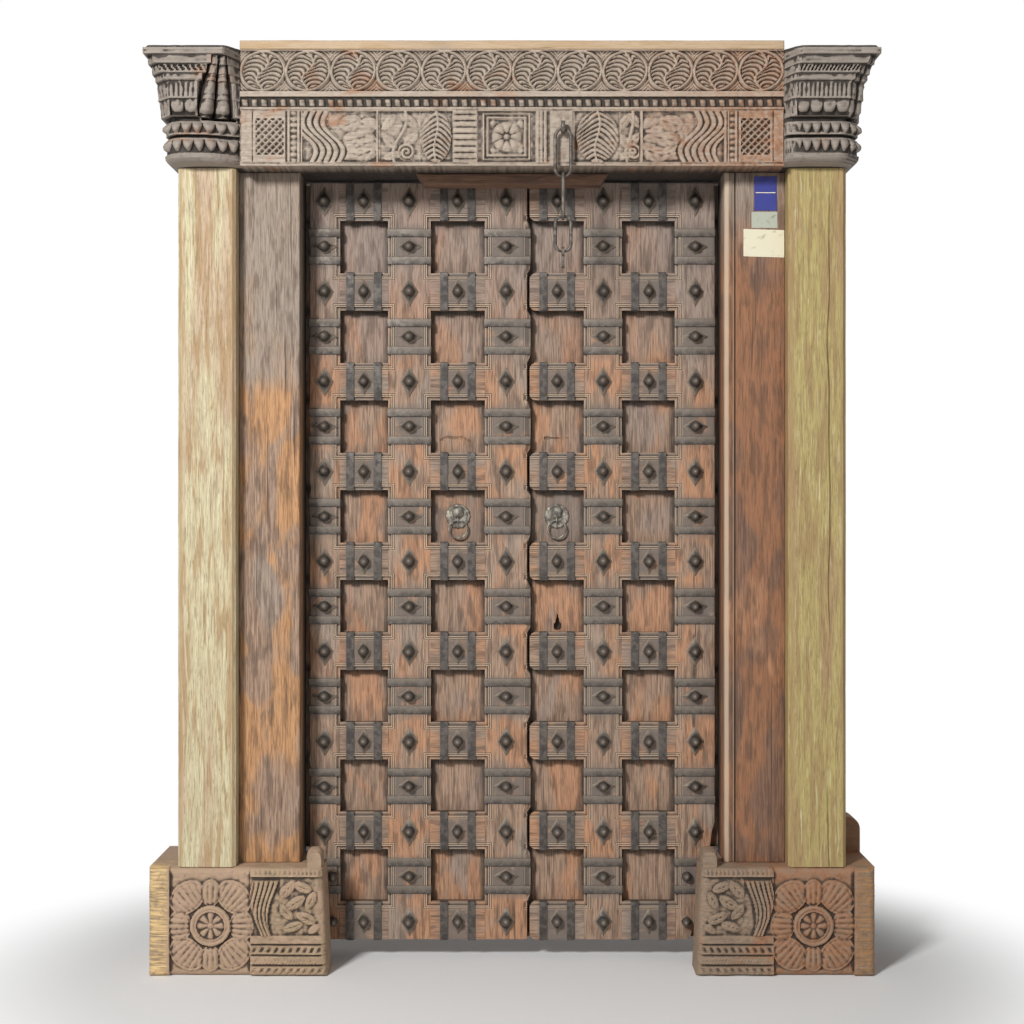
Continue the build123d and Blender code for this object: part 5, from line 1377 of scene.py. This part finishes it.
class GATE_OT_planks(Operator):
    """Planks behind the lattice, lapped where the leaves meet, with a keyhole, a slot and an old nail scar"""

    bl_idname = "gate.planks"
    bl_label = "Planks"

    lap: length("Lap", "How far the left plank's rear half passes the meeting line", 5 * MM)
    gap: length("Gap", "Gap between the planks of the two leaves", 1 * MM)
    keyhole_depth: length("Keyhole depth", "Depth of the keyhole", 18 * MM)

    # Radius of the stain round a ring pull, and place and level of the marks in the planks.
    stain_reach = 105 * MM
    scar_at, keyhole_at, slot_at = (-0.145, 1.330), (0.117, 0.853), (0.114, 1.328)

    def execute(self, context):
        front, back = span("left_meeting_plank", Y)
        half = (front + back) / 2
        line = high("left_meeting_stile", X) + self.gap
        z_span = span("left_meeting_plank", Z)
        arris = self.gap
        left_start, right_end = low("left_meeting_plank", X), high("right_meeting_plank", X)
        left = [
            self.face("left", (left_start, line), (front, half), z_span, [(*self.scar_at, self.scar)]),
            box_block((left_start, line + self.lap), (half, back), z_span, arris),
        ]
        right = [
            self.face("right", (line + self.gap, right_end), (front, half - self.gap / 2), z_span,
                      [(*self.keyhole_at, self.keyhole), (*self.slot_at, self.slot)]),
            box_block((line + self.lap + self.gap, right_end), (half - self.gap / 2, back), z_span, arris),
        ]
        for side, parts in (("left", left), ("right", right)):
            add_piece(f"{side}_meeting_boards", parts, "leaf_plank", f"{side}_leaf",
                      [f"{side}_meeting_plank"])
            dress(f"{side}_hinge_plank", "leaf_plank")
        return {"FINISHED"}

    def face(self, side, x_span, y_span, z_span, marks):
        """A plank face with slow waves, cut by a few marks, with closer lines round each mark."""
        x_lines = [spread(*x_span, 0.03)] + [x + np.linspace(-0.045, 0.045, 37) for x, _, _ in marks]
        z_lines = [spread(*z_span, 0.03)] + [z + np.linspace(-0.03, 0.03, 31) for _, z, _ in marks]
        x_all = lines(*x_lines)
        x, z = np.meshgrid(x_all[(x_all >= x_span[0]) & (x_all <= x_span[1])], lines(*z_lines))
        depth = 0.001 * (1 + noise(x, z, 0.09, 81))
        cut = np.zeros_like(x)
        for place, level, mark in marks:
            cut = np.maximum(cut, mark(x - place, z - level))
        # Tone: painted shade down in the keyhole, the slot and the scar, deeper with the cut.
        tone = -1.2 * np.clip(1.4 * cut / self.keyhole_depth, 0, 1)
        away = np.hypot(x - middle_of(f"{side}_pull_rosette", X), z - RECESS_LEVELS[PULL_ROW])
        stain = 0.5 * smooth((self.stain_reach - away) / 0.05)
        return relief_block(x, y_span[0] + depth + cut, z, y_span[1], tone, stain)

    def keyhole(self, p, q):
        """A teardrop: a round eye at the foot of a slit that narrows upwards."""
        eye = np.hypot(p, q + 0.008) - 0.0105
        slit = np.maximum(np.abs(p) - 0.008 * np.clip((0.024 - q) / 0.03, 0, 1), np.maximum(-q - 0.008, q - 0.024))
        return self.keyhole_depth * smooth(-np.minimum(eye, slit) / 0.002)

    def slot(self, p, q):
        """A level slit with a ragged upper edge."""
        ragged = 0.003 + 0.0025 * noise(p, p * 0, 0.012, 83)
        return 0.3 * self.keyhole_depth * smooth((ragged - np.abs(q)) / 0.002) * (np.abs(p) < 0.031)

    def scar(self, p, q):
        """A shallow torn line that bends down at both ends."""
        bent = q + 0.20 * np.abs(p) + 0.004 * noise(p, p * 0, 0.02, 84)
        return 0.2 * self.keyhole_depth * smooth((0.0045 - np.abs(bent)) / 0.003) * (np.abs(p) < 0.038)


class GATE_OT_straps(Operator):
    """Iron straps across the stiles and rails, turned down into the recesses"""

    bl_idname = "gate.straps"
    bl_label = "Straps"

    thickness: length("Thickness", "Thickness of the strap", 2.6 * MM)

    # How far a strap passes the straight part of the left leaf's meeting edge.
    overhang = 7.5 * MM

    def execute(self, context):
        sizes = context.scene.gate_sizes
        for side in LEAVES:
            parts = []
            for edges in stile_spans(side):
                for level in RECESS_LEVELS:
                    for way in (-0.5, 0.5):
                        middle = level + way * sizes.strap_spacing
                        start, stop = standing(edges, middle - sizes.strap_width, sizes)
                        parts.append(self.strap(start, stop, middle, sizes, False, side))
            for a, b in recess_columns(side):
                for level in RAIL_LEVELS:
                    for way in (-0.5, 0.5):
                        parts.append(self.strap(level - RAIL_HALF, level + RAIL_HALF,
                                                (a + b) / 2 + way * sizes.strap_spacing, sizes, True, side))
            add_piece(f"{side}_iron_straps", parts, "black_iron", f"{side}_leaf",
                      [f"{side}_straps"], 14)
        return {"FINISHED"}

    def strap(self, start, stop, middle, sizes, upright, side):
        """A flat bar carried along a path that runs over the timber and turns down past both edges;
        its section is a low crown."""
        out = self.thickness
        meets = (not upright) and abs(stop - LEFT_EDGE) < HAIR and side == "left"
        reach = stop + (self.overhang if meets else 0.0)
        face, foot = LATTICE_FRONT, LATTICE_FRONT + sizes.strap_turn
        run = np.array([start - out * 0.6, start - out * 0.6, start - out * 0.1, start + 0.003,
                        reach - 0.003, reach + out * 0.1, reach + out * 0.6, reach + out * 0.6])
        fall = np.array([foot, face + 0.002, face - out * 0.35, face - out * 0.5,
                         face - out * 0.5, face - out * 0.35, face + 0.002, foot])
        normal_run = np.array([-1, -0.92, -0.6, 0, 0, 0.6, 0.92, 1.0])
        normal_fall = np.array([0, -0.38, -0.8, -1, -1, -0.8, -0.38, 0.0])
        half = sizes.strap_width / 2
        crown = 0.9 * half
        section = np.array([(-half, -0.5), (half, -0.5), (half, 0.25), (crown, 0.5), (-crown, 0.5), (-half, 0.25)])
        across = np.broadcast_to(middle + section[:, 0], (len(run), len(section)))
        u = run[:, None] + normal_run[:, None] * section[None, :, 1] * out
        y = fall[:, None] + normal_fall[:, None] * section[None, :, 1] * out
        rings = np.stack([across, y, u] if upright else [u, y, across], axis=-1)
        points, faces, marks = lofted(rings if upright else rings[:, ::-1])
        # Tone paints a highlight along each strap's edges.
        marks[:, 0] = np.tile([0.0, 0.0, 0.8, 0.1, 0.1, 0.8], len(run))
        marks[:, 1] = np.tile([0.0, 0.0, 0.35, 0.0, 0.0, 0.35], len(run))
        return points, faces, marks


def standing(edges, level, sizes):
    """What is left of a stile's width at a level, once the lower outer corner is cut away."""
    foot, notch = cut_corner(sizes)
    if level > foot:
        return edges
    return max(edges[0], -notch), min(edges[1], notch)


class GATE_OT_spikes(Operator):
    """Forged spikes on lozenge plates"""

    bl_idname = "gate.spikes"
    bl_label = "Spikes"

    facets = 16
    # Share of the plate's outline, share of the spike's radius, millimetres forward, tone and stain of each course; the
    # tone paints shade under the knob's widest course and a highlight with wear towards the tip.
    courses = (
        (1.0, 0.0, -0.5, 0.3, 1.0), (0.97, 0.0, 2.6, 0.3, 0.9), (0.55, 0.45, 6.5, 0.0, 0.0),
        (0.0, 1.08, 9.0, -0.6, 0.0), (0.0, 1.0, 15.0, 0.1, 0.0), (0.0, 0.80, 21.5, 0.5, 0.0),
        (0.0, 0.45, 27.0, 0.9, 0.1), (0.0, 0.08, 30.0, 1.0, 0.3),
    )

    def execute(self, context):
        sizes = context.scene.gate_sizes
        for side in LEAVES:
            parts = []
            for place in self.places(side, sizes):
                parts.append(self.spike(*place, sizes, len(parts)))
            add_piece(f"{side}_forged_spikes", parts, "black_iron", f"{side}_leaf",
                      [f"{side}_spikes", f"{side}_spike_plates"], 60)
        return {"FINISHED"}

    def places(self, side, sizes):
        """(x, z, half width, half height) of each spike's plate; cut strips carry a spike with a small round plate."""
        found = []
        long, short = sizes.plate_length / 2, sizes.plate_breadth / 2
        mid_long, mid_short = sizes.mid_plate_length / 2, sizes.mid_plate_breadth / 2
        small = sizes.spike_radius * 1.25
        for edges in stile_spans(side):
            for level in RAIL_LEVELS:
                left = standing(edges, level - long, sizes)
                plate = (short, long) if left == edges else (small, small)
                found.append((sum(left) / 2, level, *plate))
            for level in RECESS_LEVELS:
                left = standing(edges, level - sizes.strap_spacing / 2, sizes)
                plate = (mid_long, mid_short) if left == edges else (small, small)
                found.append((sum(left) / 2, level, *plate))
        for a, b in recess_columns(side):
            found += [((a + b) / 2, level, mid_short, mid_long) for level in RAIL_LEVELS]
        return found

    def spike(self, x, z, half_x, half_z, sizes, seed):
        """A skin over angle and course: a lozenge outline that rises and rounds into a pointed dome."""
        random = np.random.default_rng(seed)
        turn = turns(self.facets)
        lozenge = 1 / (np.abs(np.cos(turn)) / half_x + np.abs(np.sin(turn)) / half_z)
        knob = sizes.spike_radius * random.uniform(0.92, 1.08)
        lean = random.uniform(-0.05, 0.05, 2)
        rings = []
        for plate_share, knob_share, forward, _, _ in self.courses:
            radius = lozenge * plate_share + knob * knob_share * (1 - plate_share)
            out = forward * MM
            rings.append(ring_at(x + lean[0] * out, LATTICE_FRONT - out, z + lean[1] * out, radius, turn))
        points, faces, marks = lofted(np.array(rings))
        marks[:] = np.repeat(np.array(self.courses)[:, 3:], self.facets, axis=0)
        return points, faces, marks


class GATE_OT_ring_pulls(Operator):
    """Ring pulls: a scalloped plate with a dome and a lug, and a forged ring"""

    bl_idname = "gate.ring_pulls"
    bl_label = "Ring pulls"

    # How far the dome is set above the plate's middle, and the lug's distance from the ring's bar and its radius.
    dome_rise, lug_gap, lug_radius = 10 * MM, 3.4 * MM, 1.8 * MM
    # Share of the plate's radius, metres forward and share of the dome's rise of each course.
    courses = (
        (1.0, 0.0, 0), (1.0, 0.0025, 0), (0.93, 0.0045, 0), (0.80, 0.0035, 0), (0.72, 0.0055, 0.3), (0.62, 0.004, 0.6),
        (0.50, 0.005, 1), (0.47, 0.0095, 1), (0.38, 0.0135, 1), (0.22, 0.0158, 1), (0.05, 0.0165, 1),
    )

    def execute(self, context):
        sides = context.scene.gate_sizes.ring_sides
        for side in LEAVES:
            add_piece(f"{side}_pull_plate", [self.plate(side), self.lug(side)], "pull_bronze",
                      f"{side}_leaf", [f"{side}_pull_rosette"], 60)
            add_piece(f"{side}_forged_ring", [self.ring(side, sides)], "pull_bronze",
                      f"{side}_ring", [f"{side}_pull_ring"], 60)
        return {"FINISHED"}

    def plate(self, side):
        """A skin over angle and course: a scalloped disc, a ring of beads and a dome set above its middle."""
        node = f"{side}_pull_rosette"
        x, z, back = middle_of(node, X), middle_of(node, Z), high(node, Y)
        radius = (high(node, X) - low(node, X)) / 2
        turn = turns(64)
        scallop = 1 + 0.035 * np.cos(16 * turn)
        rings = []
        for share, forward, lift in self.courses:
            outline = radius * share * (scallop if share > 0.6 else 1.0)
            rings.append(ring_at(x, back - forward, z + self.dome_rise * lift, outline, turn))
        return lofted(np.array(rings))

    def lug(self, side):
        """A staple that holds the ring: a bar carried round a circle about the ring's own bar."""
        ring_low, ring_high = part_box(f"{side}_pull_ring")
        bar = ring_high[Y] - ring_low[Y]
        middle = ((ring_low[X] + ring_high[X]) / 2, (ring_low[Y] + ring_high[Y]) / 2, ring_high[Z] - bar / 2)
        return hoop(middle, bar / 2 + self.lug_gap, AXES[Y], AXES[X], self.lug_radius, 28, 8)

    def ring(self, side, sides):
        """A round bar carried round a circle."""
        ring_low, ring_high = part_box(f"{side}_pull_ring")
        bar = ring_high[Y] - ring_low[Y]
        middle = (np.array(ring_low) + np.array(ring_high)) / 2
        return hoop(middle, ring_high[Z] - middle[Z] - bar / 2, AXES[X], -AXES[Y], bar / 2, sides, 10)


class GATE_OT_chain(Operator):
    """The staple, the links and the hasp of the latch chain"""

    bl_idname = "gate.chain"
    bl_label = "Chain"

    # Thickness of the staple's eye, its width in thicknesses, and the radius of its shank.
    staple_bar, eye_width, shank_radius = 6.8 * MM, 1.5, 4.8 * MM

    def execute(self, context):
        iron = "chain_iron"
        add_piece("forged_staple", self.staple(), iron, "frame", ["chain_staple"], 60)
        for number in (1, 2, 3):
            node = f"chain_link_{number}"
            add_piece(f"forged_link_{number}", [self.link(node)], iron, f"link_{number}", [node], 60)
        dress("chain_hasp", iron)
        dress("pivot_cups", "black_iron")
        return {"FINISHED"}

    def link(self, node):
        """A bar carried round an upright oval, stouter along its sides."""
        link_low, link_high = np.array(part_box(node)[0]), np.array(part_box(node)[1])
        size = link_high - link_low
        bar = min(size[X], size[Y])
        flat = size[X] > size[Y]
        across, side = (AXES[X], -AXES[Y]) if flat else (AXES[Y], AXES[X])
        path, out = loop_path(max(size[X], size[Y]) - bar, size[Z] - bar, (link_low + link_high) / 2, across, 12)
        thick = bar / 2 * (1 + 0.4 * smooth((np.abs(out @ across) - 0.45) / 0.4))
        return tube(path, out, side, thick, 10)

    def staple(self):
        """An eye carried round a circle across the gate, and its shank driven into the beam."""
        node = "chain_staple"
        staple_low, staple_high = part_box(node)
        link_low, link_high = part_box("chain_link_1")
        x, y = (link_low[X] + link_high[X]) / 2, (link_low[Y] + link_high[Y]) / 2
        z = (staple_low[Z] + staple_high[Z]) / 2
        radius = (staple_high[Z] - staple_low[Z]) / 2
        bar = self.staple_bar
        eye = hoop((x, y, z), radius - bar / 2, AXES[Y], self.eye_width * AXES[X], bar / 2, 32, 10)
        stations = np.linspace(y + radius - bar, staple_high[Y], 4)
        shank = np.stack([ring_at(x, station, z, self.shank_radius, turns(12)) for station in stations])
        return [eye, lofted(shank[:, ::-1])]


class GATE_OT_labels(Operator):
    """A bare enamelled plate and two bare papers on the right jamb"""

    bl_idname = "gate.labels"
    bl_label = "Plate and papers"

    thickness: length("Thickness", "Thickness of the plate", 1.2 * MM)

    def execute(self, context):
        face = low("jamb_right", Y) + 0.0004
        rows = (
            ("enamel_plate", "blue_enamel", (0.6025, 0.6585), (1.889, 1.974), face, 0.0),
            ("worn_label", "worn_paper", (0.5960, 0.6600), (1.846, 1.886), face, 0.0),
            ("paper_label", "old_paper", (0.5760, 0.6770), (1.774, 1.842), face, -0.03),
            ("plate_line", "old_paper", (0.606, 0.655), (1.9325, 1.9345), face - self.thickness, 0.0),
        )
        for name, finish, *sheet in rows:
            add_piece(name, [self.sheet(*sheet)], finish, "frame", ())
        return {"FINISHED"}

    def sheet(self, x_span, z_span, face, tilt):
        """A thin sheet that lies on the jamb, its corners a little proud of it."""
        x, z = np.meshgrid(spread(*x_span, 0.006), spread(*z_span, 0.006))
        u = (x - sum(x_span) / 2) / (x_span[1] - x_span[0]) * 2
        v = (z - sum(z_span) / 2) / (z_span[1] - z_span[0]) * 2
        lift = self.thickness * (1 + 0.9 * np.abs(u * v) ** 4)
        return relief_block(x, face - lift, z + tilt * (x - sum(x_span) / 2), face + 0.002)


def seen_share(nodes, links):
    """One where the camera, a gloss or a clear piece looks, and nought for the light that falls on the gate."""
    path = nodes.new("ShaderNodeLightPath").outputs
    share = path["Is Camera Ray"]
    for ray in ("Is Glossy Ray", "Is Transmission Ray"):
        larger = nodes.new("ShaderNodeMath")
        larger.operation = "MAXIMUM"
        links.new(share, larger.inputs[0])
        links.new(path[ray], larger.inputs[1])
        share = larger.outputs[0]
    return share


class GATE_OT_stage(Operator):
    """A pale floor, soft light and the camera"""

    bl_idname = "gate.stage"
    bl_label = "Stage"

    # Places and widths of the key and fill lights, half the floor's width, and where the floor fades to white.
    key_place, key_size, fill_place, fill_size = (-2.4, -5.2, 3.7), 0.9, (3.2, -4.6, 2.4), 3.0
    floor_size, white_from, white_full = 30.0, 0.95, 1.55

    def execute(self, context):
        stage = context.scene.gate_stage
        self.floor(stage)
        self.sky(context.scene, stage)
        middle = (cad_box[0] + cad_box[1]) / 2
        self.lamp("key", self.key_place, middle, self.key_size, stage.key_power)
        self.lamp("fill", self.fill_place, middle, self.fill_size, stage.fill_power)
        camera = bpy.data.objects.new("camera", bpy.data.cameras.new("camera"))
        context.scene.collection.objects.link(camera)
        camera.location = (0.0, low("plinth_left", Y) - stage.camera_distance, stage.camera_height)
        camera.rotation_euler = (math.pi / 2, 0, 0)
        camera.data.lens = stage.lens
        camera.data.shift_y = stage.horizon_shift
        context.scene.camera = camera
        context.scene.view_settings.view_transform = "Standard"
        return {"FINISHED"}

    def floor(self, stage):
        """A wide level sheet that keeps the gate's shadow near it and is white further off."""
        mesh = bpy.data.meshes.new("floor")
        size = self.floor_size
        mesh.from_pydata([(-size, -size, 0), (size, -size, 0), (size, size, 0), (-size, size, 0)], [], [(0, 1, 2, 3)])
        floor = bpy.data.objects.new("floor", mesh)
        bpy.context.scene.collection.objects.link(floor)
        finish = Finish("pale_floor", roughness=0.9)
        nodes, links = finish.nodes, finish.material.node_tree.links
        finish.shader.inputs["Base Color"].default_value = (*stage.floor_colour, 1)
        away = finish.node("ShaderNodeVectorMath", {0: finish.place})
        away.operation = "LENGTH"
        fade = finish.between(away.outputs["Value"], self.white_from, self.white_full)
        share = finish.product(fade, seen_share(nodes, links))
        white = nodes.new("ShaderNodeEmission")
        blend = nodes.new("ShaderNodeMixShader")
        links.new(share, blend.inputs[0])
        links.new(finish.shader.outputs[0], blend.inputs[1])
        links.new(white.outputs[0], blend.inputs[2])
        links.new(blend.outputs[0], nodes["Material Output"].inputs["Surface"])
        mesh.materials.append(finish.material)

    def sky(self, scene, stage):
        """Even light, white where the camera, a gloss or a clear piece looks into it."""
        world = bpy.data.worlds.new("studio")
        scene.world = world
        world.use_nodes = True
        nodes, links = world.node_tree.nodes, world.node_tree.links
        background = nodes["Background"]
        background.inputs["Color"].default_value = (1, 1, 1, 1)
        strength = nodes.new("ShaderNodeMapRange")
        strength.inputs["To Min"].default_value = stage.sky_strength
        strength.inputs["To Max"].default_value = 1.0
        links.new(seen_share(nodes, links), strength.inputs["Value"])
        links.new(strength.outputs["Result"], background.inputs["Strength"])

    def lamp(self, name, place, target, size, power):
        """A square soft light that faces its target."""
        light = bpy.data.lights.new(name, "AREA")
        light.shape = "SQUARE"
        light.size = size
        light.energy = power
        lamp = bpy.data.objects.new(name, light)
        bpy.context.scene.collection.objects.link(lamp)
        lamp.location = place
        lamp.rotation_euler = (target - lamp.location).to_track_quat("-Z", "Y").to_euler()


OPERATORS = (
    GATE_OT_finishes, GATE_OT_posts, GATE_OT_plinths, GATE_OT_capitals, GATE_OT_beams, GATE_OT_lattice,
    GATE_OT_planks, GATE_OT_straps, GATE_OT_spikes, GATE_OT_ring_pulls, GATE_OT_chain, GATE_OT_labels,
    GATE_OT_stage,
)


class GATE_PT_panel(Panel):
    """Lists the steps that dress the gate"""

    bl_idname = "GATE_PT_panel"
    bl_label = "Spiked Gate"
    bl_space_type = "VIEW_3D"
    bl_region_type = "UI"
    bl_category = "Gate"

    def draw(self, context):
        for operator in OPERATORS:
            self.layout.operator(operator.bl_idname)
        for group in (context.scene.gate_sizes, context.scene.gate_colours, context.scene.gate_stage):
            for name in group.bl_rna.properties.keys():
                if name not in ("rna_type", "name"):
                    self.layout.prop(group, name)


CLASSES = (GateSizes, GateColours, GateStage, *OPERATORS, GATE_PT_panel)


def register():
    for item in CLASSES:
        bpy.utils.register_class(item)
    bpy.types.Scene.gate_sizes = PointerProperty(type=GateSizes)
    bpy.types.Scene.gate_colours = PointerProperty(type=GateColours)
    bpy.types.Scene.gate_stage = PointerProperty(type=GateStage)


def unregister():
    del bpy.types.Scene.gate_sizes, bpy.types.Scene.gate_colours, bpy.types.Scene.gate_stage
    for item in reversed(CLASSES):
        bpy.utils.unregister_class(item)


def main():
    register()
    for operator in OPERATORS:
        group, name = operator.bl_idname.split(".")
        getattr(getattr(bpy.ops, group), name)()


if __name__ == "__main__":
    main()
